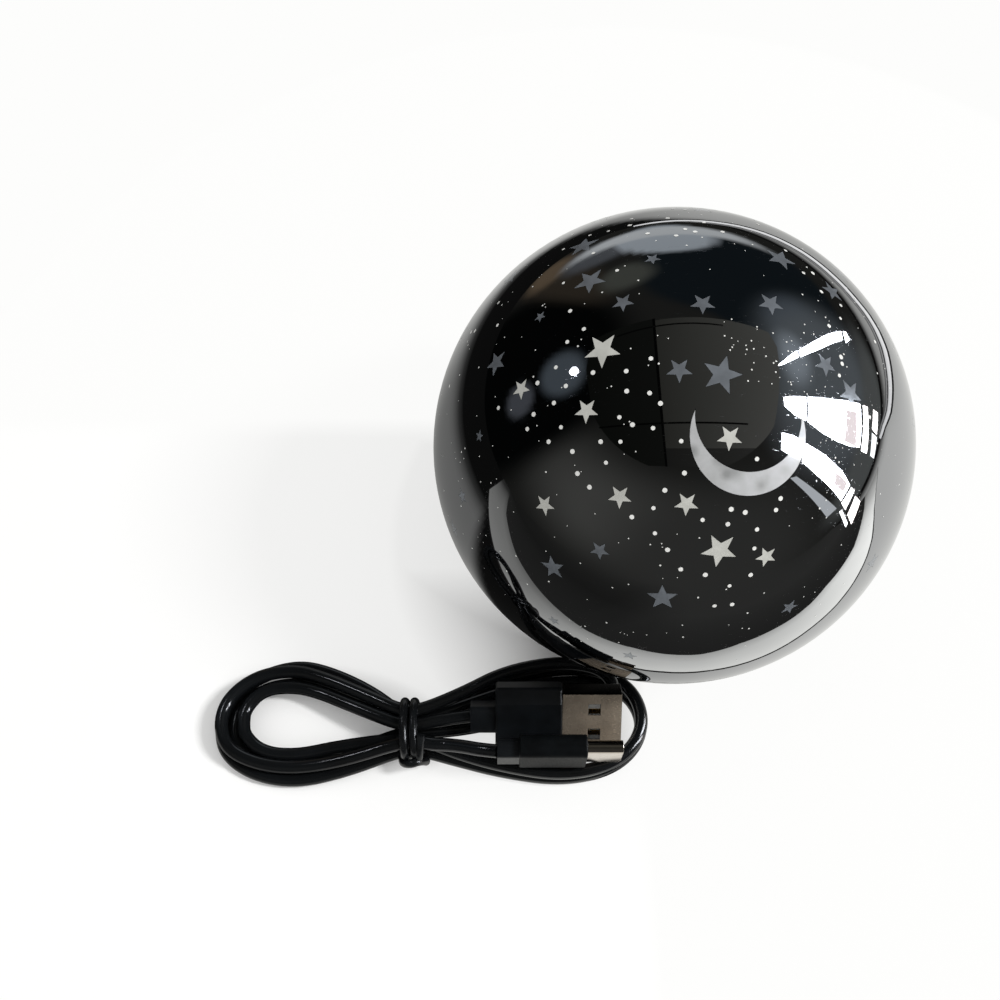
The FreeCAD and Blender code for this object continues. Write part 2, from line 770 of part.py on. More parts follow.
def tooth_flank(teeth, low_radius, high_radius, half_width, steps=6):
    """Half of a tooth: (radius, angle from the tooth's middle), root to tip."""
    pitch = gear_module * teeth / 2
    base = pitch * math.cos(math.radians(pressure_angle))
    middle = half_width / pitch + involute_angle(base, pitch)
    points = []
    for k in range(steps + 1):
        radius = low_radius + (high_radius - low_radius) * k / steps
        points.append((radius, middle - involute_angle(base, radius)))
    return points


def gear_profile(teeth, low_radius, high_radius, half_width, first_angle):
    """Closed outline of a gear's teeth; low_radius is at the wide end of a tooth."""
    flank = tooth_flank(teeth, low_radius, high_radius, half_width)
    points = []
    for tooth in range(teeth):
        middle = first_angle + 2 * math.pi * tooth / teeth
        points += [(r, middle - a) for r, a in flank]
        points += [(r, middle + a) for r, a in reversed(flank)]
    return [V(r * math.cos(a), r * math.sin(a), 0) for r, a in points]


def make_pinion():
    """Pinion on the motor's shaft, with a tooth pointing away from the post."""
    half = math.pi * gear_module / 4 - gear_backlash / 4
    root = pinion_pitch_radius - pinion_dedendum * gear_module
    tip = pinion_pitch_radius + pinion_addendum * gear_module
    points = gear_profile(pinion_teeth, root, tip, half, math.radians(motor_angle))
    points.append(points[0])
    pinion = Part.Face(Part.makePolygon(points)).extrude(V(0, 0, pinion_face_width))
    pinion.translate(V(motor_x, motor_y, pinion_bottom))
    return pinion.cut(disc(motor_shaft_radius, pinion_bottom, pinion_face_width, motor_x, motor_y))


def make_motor_shaft():
    low = gearbox_bottom + gearbox_floor + face_gap
    high = pinion_bottom + pinion_face_width
    return disc(motor_shaft_radius, low, high - low, motor_x, motor_y)


def make_ring_gear():
    """Ring whose tooth spaces have the outline of an outside gear's teeth."""
    half = math.pi * gear_module / 4 + gear_backlash / 4
    tip = ring_pitch_radius - ring_addendum * gear_module
    root = ring_pitch_radius + ring_dedendum * gear_module
    points = gear_profile(ring_teeth, tip, root, half, math.radians(motor_angle))
    points.append(points[0])
    space = Part.Face(Part.makePolygon(points)).extrude(V(0, 0, ring_face_width))
    space.translate(V(0, 0, ring_gear_bottom))
    ring = disc(ring_gear_radius, ring_gear_bottom, ring_face_width).cut(space)
    for x, y in gear_screw_places():
        ring = ring.fuse(disc(gear_boss_radius, ring_gear_bottom, ring_face_width, x, y))
    for x, y in gear_screw_places():
        ring = ring.cut(disc(screw_radius + screw_hole_gap, ring_gear_bottom, ring_face_width, x, y))
        recess = gear_screw_seat - ring_gear_bottom
        ring = ring.cut(disc(screw_head_radius + screw_head_gap, ring_gear_bottom, recess, x, y))
    return ring.removeSplitter()


def gear_screw_places():
    return around(gear_screw_count, ring_gear_radius + gear_screw_reach, gear_screw_first)


# ---- dome ---------------------------------------------------------------------------------------
def lug_angles():
    return [360.0 * k / lug_count + 60.0 for k in range(lug_count)]


def make_carrier():
    """Plate under the dome's lugs, with its hub on the post and its hooks over the lugs."""
    radius = level_radius(dome_inner_radius, carrier_bottom) - carrier_edge_gap
    plate = disc(radius, carrier_bottom, carrier_thickness)
    plate = plate.fuse(disc(hub_radius, hub_bottom, hub_top - hub_bottom))
    hook_inner = level_radius(dome_inner_radius, carrier_top) - lug_reach - hook_stem - face_gap
    lug_top = carrier_top + lug_thickness
    for angle in lug_angles():
        half = lug_width / 2
        hook_top = lug_top + hook_thickness
        lip_outer = hook_inner + hook_stem + hook_overlap
        stem = block(hook_inner, hook_inner + hook_stem, -half, half, carrier_top, hook_top)
        lip = block(hook_inner, lip_outer, -half, half, lug_top + running_clearance, hook_top)
        hook = stem.fuse(lip)
        hook.rotate(V(0, 0, 0), UP, angle)
        plate = plate.fuse(hook)
    plate = plate.cut(disc(post_radius + running_clearance, hub_bottom, hub_top - hub_bottom))
    for x, y in gear_screw_places():
        plate = plate.cut(disc(screw_radius, carrier_bottom, carrier_thickness, x, y))
    return plate.removeSplitter()


def direction(longitude, latitude):
    """Unit vector; longitude turns from the front (-Y) towards +X."""
    lon = math.radians(longitude)
    lat = math.radians(latitude)
    return V(math.cos(lat) * math.sin(lon), -math.cos(lat) * math.cos(lon), math.sin(lat))


def tangent_axes(out):
    """Right and up on the ball's surface, as someone who looks at that place sees them."""
    right = UP.cross(out)
    right.normalize()
    return right, out.cross(right)


def star_prism(star, grow):
    """Five-pointed bar along the ball's radius, one point down."""
    longitude, latitude, width, turn = star
    out = direction(longitude, latitude)
    right, up = tangent_axes(out)
    outer = width / 1.9 + grow * 2
    inner = outer * star_waist
    start = ball_centre + out * (ball_radius - window_depth - over)
    points = []
    for k in range(2 * star_points):
        radius = outer if k % 2 == 0 else inner
        angle = math.radians(-90 + turn + 180.0 * k / star_points)
        points.append(start + right * (radius * math.cos(angle)) + up * (radius * math.sin(angle)))
    points.append(points[0])
    return Part.Face(Part.makePolygon(points)).extrude(out * (window_depth + 2 * over))


def moon_prism(grow):
    """Crescent between two circles, horns up."""
    out = direction(moon_longitude, moon_latitude)
    hole = direction(moon_hole_longitude, moon_hole_latitude)
    low = ball_radius - window_depth - 2 * over
    high = ball_radius + 2 * over
    bar = Part.makeCylinder(moon_outer_radius + grow, high - low, ball_centre + out * low, out)
    low -= 2 * over
    high += 2 * over
    bite = Part.makeCylinder(moon_inner_radius - grow, high - low, ball_centre + hole * low, hole)
    return bar.cut(bite)


def angle_between(a, b):
    return math.degrees(direction(a[0], a[1]).getAngle(direction(b[0], b[1])))


def spread_stars():
    """More stars round the rear, none close to another."""
    low = math.sin(math.radians(spread_low_latitude))
    high = math.sin(math.radians(spread_high_latitude))
    stars = []
    for k in range(spread_count):
        longitude = (spread_turn * k) % 360.0
        latitude = math.degrees(math.asin(low + (high - low) * (k + 0.5) / spread_count))
        if not spread_first_longitude < longitude < spread_last_longitude:
            continue
        star = (longitude, latitude, spread_sizes[k % len(spread_sizes)], 7 * k % 72)
        near = [angle_between(star, other) for other in BRIGHT_STARS + FAINT_STARS + stars]
        if min(near) > star_spacing:
            stars.append(star)
    return stars


def make_windows(prisms):
    """Thin inlays that fill their pockets in the dome, with a hair of room."""
    outer = ball(ball_radius)
    inner = ball(ball_radius - window_depth + window_gap)
    return [prism.common(outer).cut(inner) for prism in prisms]


def make_dome(pocket_prisms):
    size = 2 * ball_radius
    dome = ball(ball_radius).cut(ball(dome_inner_radius))
    dome = dome.common(block(-size, size, -size, size, dome_edge, ball_centre_height + size))
    inner_wall = level_radius(dome_inner_radius, carrier_top)
    for angle in lug_angles():
        half = lug_width / 2
        lug_top = carrier_top + lug_thickness
        lug = block(inner_wall - lug_reach, size, -half, half, carrier_top, lug_top)
        lug.rotate(V(0, 0, 0), UP, angle)
        dome = dome.fuse(lug.common(ball(ball_radius - dome_wall / 2)))
    floor = ball(ball_radius - window_depth)
    pockets = [prism.cut(floor) for prism in pocket_prisms]
    return dome.removeSplitter().cut(pockets)


# ---- USB lead -----------------------------------------------------------------------------------
def round_tube(points, radius, report=""):
    """Tube of straight runs joined by tangent arcs, each as large as its two runs allow."""
    edges = []
    start = points[0]
    length = 0.0
    for k in range(1, len(points) - 1):
        before = points[k] - points[k - 1]
        after = points[k + 1] - points[k]
        turn = before.getAngle(after)
        cut = route_run_share * min(before.Length, after.Length)
        arc_radius = cut / math.tan(turn / 2)
        enter = points[k] - before.normalize() * cut
        leave = points[k] + after.normalize() * cut
        to_middle = (after - before).normalize()
        middle = points[k] + to_middle * (arc_radius / math.cos(turn / 2) - arc_radius)
        edges.append(Part.makeLine(start, enter))
        edges.append(Part.Arc(enter, middle, leave).toShape())
        length += (enter - start).Length + arc_radius * turn
        start = leave
        if report:
            print(report, "bend", k, "radius", round(arc_radius, 1))
    edges.append(Part.makeLine(start, points[-1]))
    length += (points[-1] - start).Length
    path = Part.Wire(edges)
    ring = Part.Wire(Part.makeCircle(radius, points[0], points[1] - points[0]))
    solid = path.makePipeShell([ring], True, False)
    if report:
        share = solid.Volume / (math.pi * radius ** 2 * length)
        print(report, "length", round(length, 1), "volume over section times length", round(share, 4))
    return solid


def route(points):
    return [V(*p) for p in points]


def make_hank():
    """Outer shape of the wound lead: two eyes, gathered at the tie."""
    hank = outline_solid(HANK_OUTLINE, 0, hank_height)
    hank = hank.cut(outline_solid(LEFT_EYE, -over, hank_height + 2 * over))
    hank = hank.cut(outline_solid(RIGHT_EYE, -over, hank_height + 2 * over))
    x0 = waist_x - waist_length / 2
    x1 = waist_x + waist_length / 2
    margin = 2 * cord_diameter
    hank = hank.cut(block(x0, x1, waist_front - margin, waist_back + margin, 0, hank_height))
    return hank.fuse(block(x0, x1, waist_front, waist_back, waist_bottom, waist_top)).removeSplitter()


def make_cable_tie():
    """Flat band round the gathered turns."""
    outer = tie_wall + tie_gap
    x0 = waist_x - tie_width / 2
    width = waist_back - waist_front + 2 * outer
    height = waist_top + outer
    middle_y = (waist_front + waist_back) / 2
    band = round_box(x0, tie_width, width, height, tie_corner, middle_y, height / 2)
    inner_w = width - 2 * tie_wall
    inner_h = height - 2 * tie_wall
    return band.cut(round_box(x0, tie_width, inner_w, inner_h, tie_gap, middle_y, height / 2))


def place_on_lead(shapes, roll, end):
    """Turn a plug's pieces about their long axis and put them at the lead's end."""
    placed = []
    for shape in shapes:
        shape.rotate(V(0, 0, 0), V(1, 0, 0), roll)
        shape.translate(V(*end))
        placed.append(shape)
    return placed


def make_plug_a():
    """Flat plug: relief, grip, shell, tongue and contacts, along +X from the lead's end."""
    length = plug_a_relief_length
    relief = round_box(0, length, plug_a_relief_width, plug_a_relief_height, plug_a_relief_corner)
    grip_end = length + plug_a_grip_length
    grip = round_box(
        length, plug_a_grip_length, plug_a_grip_width, plug_a_grip_height, plug_a_grip_corner
    )
    cutters = []
    for side in (-1, 1):
        edge_y = side * plug_a_grip_width / 2
        for top in (-1, 1):
            edge_z = top * plug_a_grip_height / 2
            corner = V(plug_a_relief_length - 1, edge_y, edge_z)
            wedge = Part.makePolygon([
                corner + V(0, side, top),
                corner + V(0, -side * 2 * plug_a_chamfer, top),
                corner + V(0, -side * 2 * plug_a_chamfer, 0),
                corner + V(0, 0, -top * plug_a_chamfer),
                corner + V(0, side, -top * plug_a_chamfer),
                corner + V(0, side, top),
            ])
            cutters.append(Part.Face(wedge).extrude(V(plug_a_grip_length + 2, 0, 0)))
    grip = grip.cut(cutters)
    corner = plug_a_shell_corner
    shell = round_box(grip_end, plug_a_shell_length, plug_a_shell_width, plug_a_shell_height, corner)
    inner_w = plug_a_shell_width - 2 * plug_wall
    inner_h = plug_a_shell_height - 2 * plug_wall
    shell = shell.cut(round_box(grip_end, plug_a_shell_length, inner_w, inner_h, corner - plug_wall))
    for side in (-1, 1):
        middle = side * plug_a_window_spacing / 2
        half = plug_a_window / 2
        x0 = grip_end + plug_a_window_place
        tall = plug_a_shell_height
        window = block(x0, x0 + plug_a_window, middle - half, middle + half, -tall, tall)
        shell = shell.cut(window)
    tongue_low = -inner_h / 2
    half = plug_a_tongue_width / 2
    tongue_end = grip_end + plug_a_shell_length - plug_a_tongue_back
    tongue = block(grip_end, tongue_end, -half, half, tongue_low, tongue_low + plug_a_tongue_height)
    contacts = []
    for k in range(4):
        middle = (k - 1.5) * plug_a_contact_spacing
        half = plug_a_contact_width / 2
        top = tongue_low + plug_a_tongue_height
        x1 = grip_end + plug_a_shell_length - plug_a_contact_back
        high = top + contact_thickness
        contacts.append(block(x1 - contact_reach, x1, middle - half, middle + half, top, high))
    return [relief, grip, shell, tongue] + [Part.makeCompound(contacts)]


def make_plug_c():
    """Small plug: relief, grip, shell and inner tongue, along +X from the lead's end."""
    length = plug_c_relief_length
    relief = round_box(0, length, plug_c_relief_width, plug_c_relief_height, plug_c_relief_corner)
    grip_end = length + plug_c_grip_length
    grip = round_box(
        length, plug_c_grip_length, plug_c_grip_width, plug_c_grip_height, plug_c_grip_corner
    )
    corner = plug_c_shell_corner
    shell = round_box(grip_end, plug_c_shell_length, plug_c_shell_width, plug_c_shell_height, corner)
    inner_w = plug_c_shell_width - 2 * plug_wall
    inner_h = plug_c_shell_height - 2 * plug_wall
    shell = shell.cut(round_box(grip_end, plug_c_shell_length, inner_w, inner_h, corner - plug_wall))
    insert = round_box(grip_end, plug_c_floor, inner_w, inner_h, corner - plug_wall)
    half = plug_c_lip_width / 2
    lip_end = grip_end + plug_c_shell_length - plug_c_lip_back
    for low in (-inner_h / 2, inner_h / 2 - plug_c_lip_thickness):
        insert = insert.fuse(block(grip_end, lip_end, -half, half, low, low + plug_c_lip_thickness))
    return [relief, grip, shell, insert.removeSplitter()]


# ---- build --------------------------------------------------------------------------------------
save("base_shell", make_base_shell())
save("bottom_cover", make_bottom_cover())
save("foot_pads", make_foot_pads())
save("cover_screws", [screw(x, y, cover_screw_seat, 1) for x, y in cover_boss_places()])
save("deck_plate", make_deck())
save("deck_screws", [screw(x, y, deck_top, -1) for x, y in deck_boss_places()])
save("lamp_post", make_lamp_post())
save("post_screws", [screw(x, y, washer_bottom, -1, post_screw_length) for x, y in post_screw_places()])
save("thrust_washer", tube(washer_radius, post_radius + face_gap, washer_bottom, washer_thickness))
save("retaining_clip", make_retaining_clip())
save("lamp_holder", make_lamp_holder())
save("lamp_board", make_lamp_board())
save("lamp_leds", make_lamp_leds())
save("lamp_lens", make_lamp_lens())
save("lamp_wires", make_lamp_wires())
save("main_board", make_main_board())
save("board_screws", [screw(x, y, board_bottom, 1) for x, y in standoff_places()])
save("board_parts", make_board_parts())
save("usb_socket_shell", make_usb_socket_shell())
save("usb_socket_tongue", make_usb_socket_tongue())
save("tact_switches", make_switches())
save("light_button", make_button(-button_spacing))
save("spin_button", make_button(button_spacing))
save("drive_motor", make_motor())
save("gearbox", make_gearbox())
save("motor_screws", [screw(x, y, deck_top, -1, motor_screw_length) for x, y in gearbox_ear_places()])
save("motor_wires", make_motor_wires())
save("motor_shaft", make_motor_shaft())
save("drive_pinion", make_pinion())
save("ring_gear", make_ring_gear())
save("gear_screws", [screw(x, y, gear_screw_seat, 1, gear_screw_length) for x, y in gear_screw_places()])
save("dome_carrier", make_carrier())

faint = FAINT_STARS + spread_stars()
print("stars", len(BRIGHT_STARS), len(faint))
pocket_prisms = [star_prism(star, window_gap) for star in BRIGHT_STARS + faint] + [moon_prism(window_gap)]
save("star_dome", make_dome(pocket_prisms))
save("bright_star_windows", make_windows([star_prism(star, 0) for star in BRIGHT_STARS]))
save("faint_star_windows", make_windows([star_prism(star, 0) for star in faint]))
save("moon_window", make_windows([moon_prism(0)]))

save("usb_cable_hank", make_hank())
save("cable_tie", make_cable_tie())
save("cable_tail_a", round_tube(route(TAIL_A_ROUTE), cord_diameter / 2, "tail a"))
save("cable_tail_c", round_tube(route(TAIL_C_ROUTE), cord_diameter / 2, "tail c"))
plug_a = place_on_lead(make_plug_a(), plug_a_roll, TAIL_A_ROUTE[-1])
for name, shape in zip(("relief", "grip", "shell", "tongue", "contacts"), plug_a):
    save("usb_a_" + name, shape)
plug_c = place_on_lead(make_plug_c(), 90.0, TAIL_C_ROUTE[-1])
for name, shape in zip(("relief", "grip", "shell", "insert"), plug_c):
    save("usb_c_" + name, shape)
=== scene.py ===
import bmesh
import bpy
import math
import random
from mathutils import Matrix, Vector


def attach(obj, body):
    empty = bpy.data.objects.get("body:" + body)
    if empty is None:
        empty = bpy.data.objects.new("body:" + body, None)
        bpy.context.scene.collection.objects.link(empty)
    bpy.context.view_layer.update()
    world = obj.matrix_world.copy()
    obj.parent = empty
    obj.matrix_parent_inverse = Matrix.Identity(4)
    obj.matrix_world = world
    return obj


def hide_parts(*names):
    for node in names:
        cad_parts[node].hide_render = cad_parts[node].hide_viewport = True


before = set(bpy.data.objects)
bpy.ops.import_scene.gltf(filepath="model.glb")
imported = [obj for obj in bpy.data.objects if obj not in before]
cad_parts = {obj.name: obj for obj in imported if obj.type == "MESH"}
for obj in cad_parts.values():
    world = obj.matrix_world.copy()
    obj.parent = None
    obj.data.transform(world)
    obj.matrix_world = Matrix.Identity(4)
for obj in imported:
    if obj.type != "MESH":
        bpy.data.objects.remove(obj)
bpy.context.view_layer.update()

MM = 0.001
# The ball, and the cord of its lead, as the solids have them.
BALL_RADIUS = 44.0 * MM
BALL_CENTRE = Vector((0.0, 0.0, 37.0 * MM))
CORD_DIAMETER = 2.6 * MM


# ---- helpers

def linear(code):
    """The linear colour of an sRGB hex value such as "8a8c90"."""
    shares = [int(code[i:i + 2], 16) / 255 for i in (0, 2, 4)]
    return tuple(s / 12.92 if s <= 0.04045 else ((s + 0.055) / 1.055) ** 2.4 for s in shares) + (1.0,)


def node(tree, kind, inputs=None, stops=None, **settings):
    """Adds one node with its settings, its inputs and a ramp's (position, hex) stops.

    An input is a value, a socket, or a node, which stands for its first output.
    """
    made = tree.nodes.new(kind)
    for name, value in settings.items():
        setattr(made, name, value)
    for name, value in (inputs or {}).items():
        if isinstance(value, bpy.types.Node):
            value = value.outputs[0]
        if isinstance(value, bpy.types.NodeSocket):
            tree.links.new(value, made.inputs[name])
        else:
            made.inputs[name].default_value = value
    if stops:
        marks = made.color_ramp.elements
        while len(marks) < len(stops):
            marks.new(0.5)
        for mark, (position, code) in zip(marks, stops):
            mark.position = position
            mark.color = linear(code)
    return made


def put(name, data):
    """An object at the origin that shows a mesh, a curve, a light or a camera."""
    made = bpy.data.objects.new(name, data)
    bpy.context.collection.objects.link(made)
    return made


def plain_mesh(thing):
    """The mesh that an object's curve or modifiers come to. The object itself goes."""
    made = bpy.data.meshes.new_from_object(thing.evaluated_get(bpy.context.evaluated_depsgraph_get()))
    bpy.data.objects.remove(thing)
    return made


def from_centre(turn, rise, distance=BALL_RADIUS):
    """The point seen from the ball's middle at a turn (front 0, right 90) and a rise, in degrees."""
    turn, rise = math.radians(turn), math.radians(rise)
    flat = math.cos(rise)
    return BALL_CENTRE + distance * Vector((flat * math.sin(turn), -flat * math.cos(turn), math.sin(rise)))


# ---- materials

# The noise values between which a surface goes from its first shade and gloss to its second.
SHADE_SPAN = (0.32, 0.68)
GRAIN_SPAN = (0.30, 0.70)
# Real moulding grain, plating grit and rubs are finer than a pixel, so they are drawn 0.2 to 1.5 mm wide.
GRAIN_STRENGTH = 0.35
COAT_ROUGHNESS = 0.06
ACRYLIC_IOR = 1.49
PLASTIC_IOR = 1.53


def blank(name):
    """A material with an empty node tree, and the Object coordinates that its patterns follow."""
    made = bpy.data.materials.new(name)
    made.use_nodes = True
    made.node_tree.nodes.clear()
    place = node(made.node_tree, "ShaderNodeTexCoord").outputs["Object"]
    return made, made.node_tree, place


def moulded(name, shades, patch, rough, grain, lift=0.0, ior=1.5, metallic=0.0, coat=0.0, specular=0.5):
    """Two close shades in patches, with a fine grain in the gloss and the relief. Sizes are in mm."""
    made, tree, place = blank(name)
    patches = node(tree, "ShaderNodeTexNoise", {"Vector": place, "Scale": 1 / (patch * MM), "Detail": 3.0})
    fine = node(tree, "ShaderNodeTexNoise", {"Vector": place, "Scale": 1 / (grain * MM)})
    colour = node(tree, "ShaderNodeValToRGB", {"Fac": patches}, list(zip(SHADE_SPAN, shades)))
    gloss = node(tree, "ShaderNodeMapRange", {
        "Value": fine, "From Min": GRAIN_SPAN[0], "From Max": GRAIN_SPAN[1],
        "To Min": rough[0], "To Max": rough[1]})
    skin = node(tree, "ShaderNodeBsdfPrincipled", {
        "Base Color": colour, "Roughness": gloss, "Metallic": metallic, "Coat Weight": coat,
        "Coat Roughness": COAT_ROUGHNESS})
    if lift:
        bump = node(tree, "ShaderNodeBump", {
            "Height": fine, "Strength": GRAIN_STRENGTH, "Distance": lift * MM})
        tree.links.new(bump.outputs["Normal"], skin.inputs["Normal"])
    if metallic < 1:
        skin.inputs["IOR"].default_value = ior
        skin.inputs["Specular IOR Level"].default_value = specular
    node(tree, "ShaderNodeOutputMaterial", {"Surface": skin})
    return made


def smoked_mirror_dome():
    """Smoked acrylic with a chrome film: a mirror that dims what it shows, and fades in hairline rubs."""
    made, tree, place = blank("smoked_chrome_acrylic")
    film = node(tree, "ShaderNodeTexNoise", {"Vector": place, "Scale": 1 / (30 * MM)})
    colour = node(tree, "ShaderNodeValToRGB", {"Fac": film}, [(0.3, "a6a7a9"), (0.7, "abacae")])
    # A cloth's rubs all run one way: 5 mm long, and narrowed 14 times across.
    one_way = node(tree, "ShaderNodeMapping", {
        "Vector": place, "Rotation": (0.5, 0.3, 0.8), "Scale": (1.0, 14.0, 14.0)})
    rubs = node(tree, "ShaderNodeTexNoise", {
        "Vector": one_way, "Scale": 1 / (5 * MM), "Detail": 5.0, "Roughness": 0.75})
    gloss = node(tree, "ShaderNodeMapRange", {
        "Value": rubs, "From Min": 0.60, "From Max": 0.74, "To Min": 0.02, "To Max": 0.34})
    skin = node(tree, "ShaderNodeBsdfPrincipled", {
        "Base Color": colour, "Roughness": gloss, "Metallic": 1.0})
    node(tree, "ShaderNodeOutputMaterial", {"Surface": skin})
    return made


def cratered_moon():
    """Milky acrylic under a soft pattern of craters, with painted light that lightens it to the crescent's
    right.
    """
    made, tree, place = blank("milky_acrylic_moon")
    soft = node(tree, "ShaderNodeTexNoise", {
        "Vector": place, "Scale": 1 / (5 * MM), "Detail": 4.0, "Roughness": 0.6})
    pits = node(tree, "ShaderNodeTexVoronoi", {
        "Vector": place, "Scale": 1 / (3.2 * MM)}, feature="SMOOTH_F1")
    rings = node(tree, "ShaderNodeMapRange", {
        "Value": pits.outputs["Distance"], "From Min": 0.05, "From Max": 0.4})
    shade = node(tree, "ShaderNodeMath", {0: soft, 1: rings}, operation="MULTIPLY")
    # Painted light: the crescent grows lighter and cooler from its middle to its right horn, where light
    # shines through it and off it.
    along = node(tree, "ShaderNodeSeparateXYZ", {"Vector": place}).outputs["X"]
    painted_light_share = node(tree, "ShaderNodeMapRange", {
        "Value": along, "From Min": 2 * MM, "From Max": 20 * MM, "To Max": 0.34})
    level = node(tree, "ShaderNodeMath", {0: shade, 1: 0.62, 2: painted_light_share}, operation="MULTIPLY_ADD")
    colour = node(tree, "ShaderNodeValToRGB", {"Fac": level}, [
        (0.05, "868787"), (0.25, "a2a3a3"), (0.5, "b9babc"), (0.75, "c3c8cd")])
    skin = node(tree, "ShaderNodeBsdfPrincipled", {
        "Base Color": colour, "Roughness": 0.16, "IOR": ACRYLIC_IOR,
        "Coat Weight": 0.6, "Coat Roughness": 0.05})
    node(tree, "ShaderNodeOutputMaterial", {"Surface": skin})
    return made


def satin_lead():
    """Extruded soft PVC: black, with long soft highlights along each turn and a faint drag in its skin."""
    made, tree, place = blank("soft_pvc_lead")
    patches = node(tree, "ShaderNodeTexNoise", {"Vector": place, "Scale": 1 / (14 * MM)})
    fine = node(tree, "ShaderNodeTexNoise", {"Vector": place, "Scale": 1 / (0.5 * MM)})
    colour = node(tree, "ShaderNodeValToRGB", {"Fac": patches}, [(0.3, "0c0d0e"), (0.7, "131517")])
    gloss = node(tree, "ShaderNodeMapRange", {
        "Value": fine, "From Min": GRAIN_SPAN[0], "From Max": GRAIN_SPAN[1],
        "To Min": 0.09, "To Max": 0.14})
    bump = node(tree, "ShaderNodeBump", {"Height": fine, "Strength": 0.1, "Distance": 0.006 * MM})
    skin = node(tree, "ShaderNodeBsdfPrincipled", {
        "Base Color": colour, "Roughness": gloss, "Normal": bump, "IOR": PLASTIC_IOR})
    node(tree, "ShaderNodeOutputMaterial", {"Surface": skin})
    return made


# The film darkens whatever the dome mirrors, and only its rubs tell that there is a surface.
DOME_FILM = smoked_mirror_dome()
# The crescent looks like bone china with faint stains, with painted light that lightens it to the right.
MOON_WINDOW = cratered_moon()
# The lead's skin draws one bright line along each turn.
LEAD = satin_lead()
# ABS from a polished tool: so smooth and dark that it shows the table and not itself.
PIANO_BLACK = moulded(
    "glossy_black_abs", ("060606", "0b0b0c"), patch=20, rough=(0.06, 0.10), grain=0.8, lift=0.003,
    ior=PLASTIC_IOR, coat=0.5)
# Milky acrylic where the film is left off: a bone white with the dome's own gloss over it.
BRIGHT_WINDOW = moulded(
    "milky_acrylic_bright_star", ("acaca6", "bcbcb6"), patch=2.5, rough=(0.10, 0.2), grain=0.4, lift=0.004,
    ior=ACRYLIC_IOR, coat=0.6)
# Half-cleared film over the acrylic: a cool grey that is partly mirror.
DIM_WINDOW = moulded(
    "smoked_acrylic_faint_star", ("676b70", "777c82"), patch=2.5, rough=(0.10, 0.2), grain=0.4, lift=0.003,
    ior=ACRYLIC_IOR, metallic=0.35, coat=0.6)
# Clear pinholes in the film: the palest spots on the dome.
DOT_WINDOW = moulded(
    "milky_acrylic_dot", ("d2d2ce", "e4e4e0"), patch=2.5, rough=(0.10, 0.2), grain=0.4, lift=0.004,
    ior=ACRYLIC_IOR, coat=0.6)
# Soft vinyl from a twist tie: duller than the lead, with broad soft highlights.
TIE_RUBBER = moulded(
    "soft_vinyl_tie", ("0c0d0e", "141618"), patch=3, rough=(0.18, 0.28), grain=0.4, lift=0.01,
    ior=PLASTIC_IOR)
# PVC moulded over the plug in a sparked tool: matt, blue-black and finely grained.
PLUG_PVC = moulded(
    "matt_moulded_pvc", ("0c0e10", "131619"), patch=4, rough=(0.30, 0.40), grain=0.35, lift=0.012, ior=1.36)
# A softer PVC on the small plug, which swallows nearly all light.
SMALL_PLUG_PVC = moulded(
    "matt_rubbery_pvc", ("07090a", "0c0f11"), patch=4, rough=(0.42, 0.52), grain=0.35, lift=0.012, ior=1.4,
    specular=0.12)
# Dull nickel plate on pressed steel: a warm grey-brown with only a soft sheen. On the large plug only its
# upper broad face takes it, lighter than the rest: painted light.
PLUG_NICKEL = moulded(
    "satin_nickel_plate", ("978b7c", "ab9e8d"), patch=5, rough=(0.24, 0.30), grain=1.5, metallic=0.55)
# The same plate made dark and sharp on the large plug's edges and its other faces: painted shade.
PLUG_SHADED_PLATE = moulded(
    "shaded_nickel_plate", ("3c3a38", "484542"), patch=5, rough=(0.14, 0.2), grain=1.5, metallic=1.0)
# Bright nickel on a drawn shell: it mirrors the table in clean bands.
SMALL_PLUG_NICKEL = moulded(
    "polished_nickel_plate", ("b5aca2", "c4bbb0"), patch=5, rough=(0.08, 0.14), grain=1.5, metallic=1.0)
# Filled nylon inside the plug and the socket: chalk white and dull.
TONGUE = moulded("pale_plug_tongue", ("c9c9c4", "dadad6"), patch=3, rough=(0.3, 0.4), grain=0.4, lift=0.004)
# ABS from an etched tool: a dark grey that scatters every highlight.
MATT_BLACK = moulded(
    "matt_black_abs", ("121213", "1a1a1b"), patch=6, rough=(0.45, 0.6), grain=0.5, lift=0.02)
# Uncoloured ABS of the inner frame: a warm white with a low sheen.
WHITE_ABS = moulded("white_abs", ("dcdbd6", "e8e7e2"), patch=8, rough=(0.3, 0.42), grain=0.6, lift=0.01)
# Acetal of the gears and the washer: ivory, waxy and slippery to look at.
ACETAL = moulded(
    "natural_acetal", ("d8d4c6", "e4e0d3"), patch=5, rough=(0.28, 0.38), grain=0.5, lift=0.008, ior=1.48)
# Turned brass: yellow, with fine tool marks that soften its shine.
BRASS = moulded(
    "turned_brass", ("b08d4a", "c39f5a"), patch=3, rough=(0.22, 0.34), grain=0.2, lift=0.004, metallic=1.0)
# Zinc plate on steel: cool and grey, with a faint frost.
STEEL = moulded(
    "zinc_plated_steel", ("a9abad", "bdbfc0"), patch=3, rough=(0.25, 0.38), grain=0.25, lift=0.004,
    metallic=1.0)
# Solder mask over glass fibre: a deep green with the weave's slight ripple.
BOARD = moulded("green_solder_mask", ("154a2c", "1c5a37"), patch=5, rough=(0.22, 0.34), grain=0.6, lift=0.01)
# Foamed rubber: charcoal, without any shine.
RUBBER = moulded("foot_rubber", ("191919", "242424"), patch=4, rough=(0.65, 0.8), grain=0.4, lift=0.03)
# Thin PVC on the inner wires: a plain signal red.
WIRE = moulded("wire_pvc", ("8c1e1a", "a32a24"), patch=5, rough=(0.3, 0.4), grain=0.4, lift=0.008)
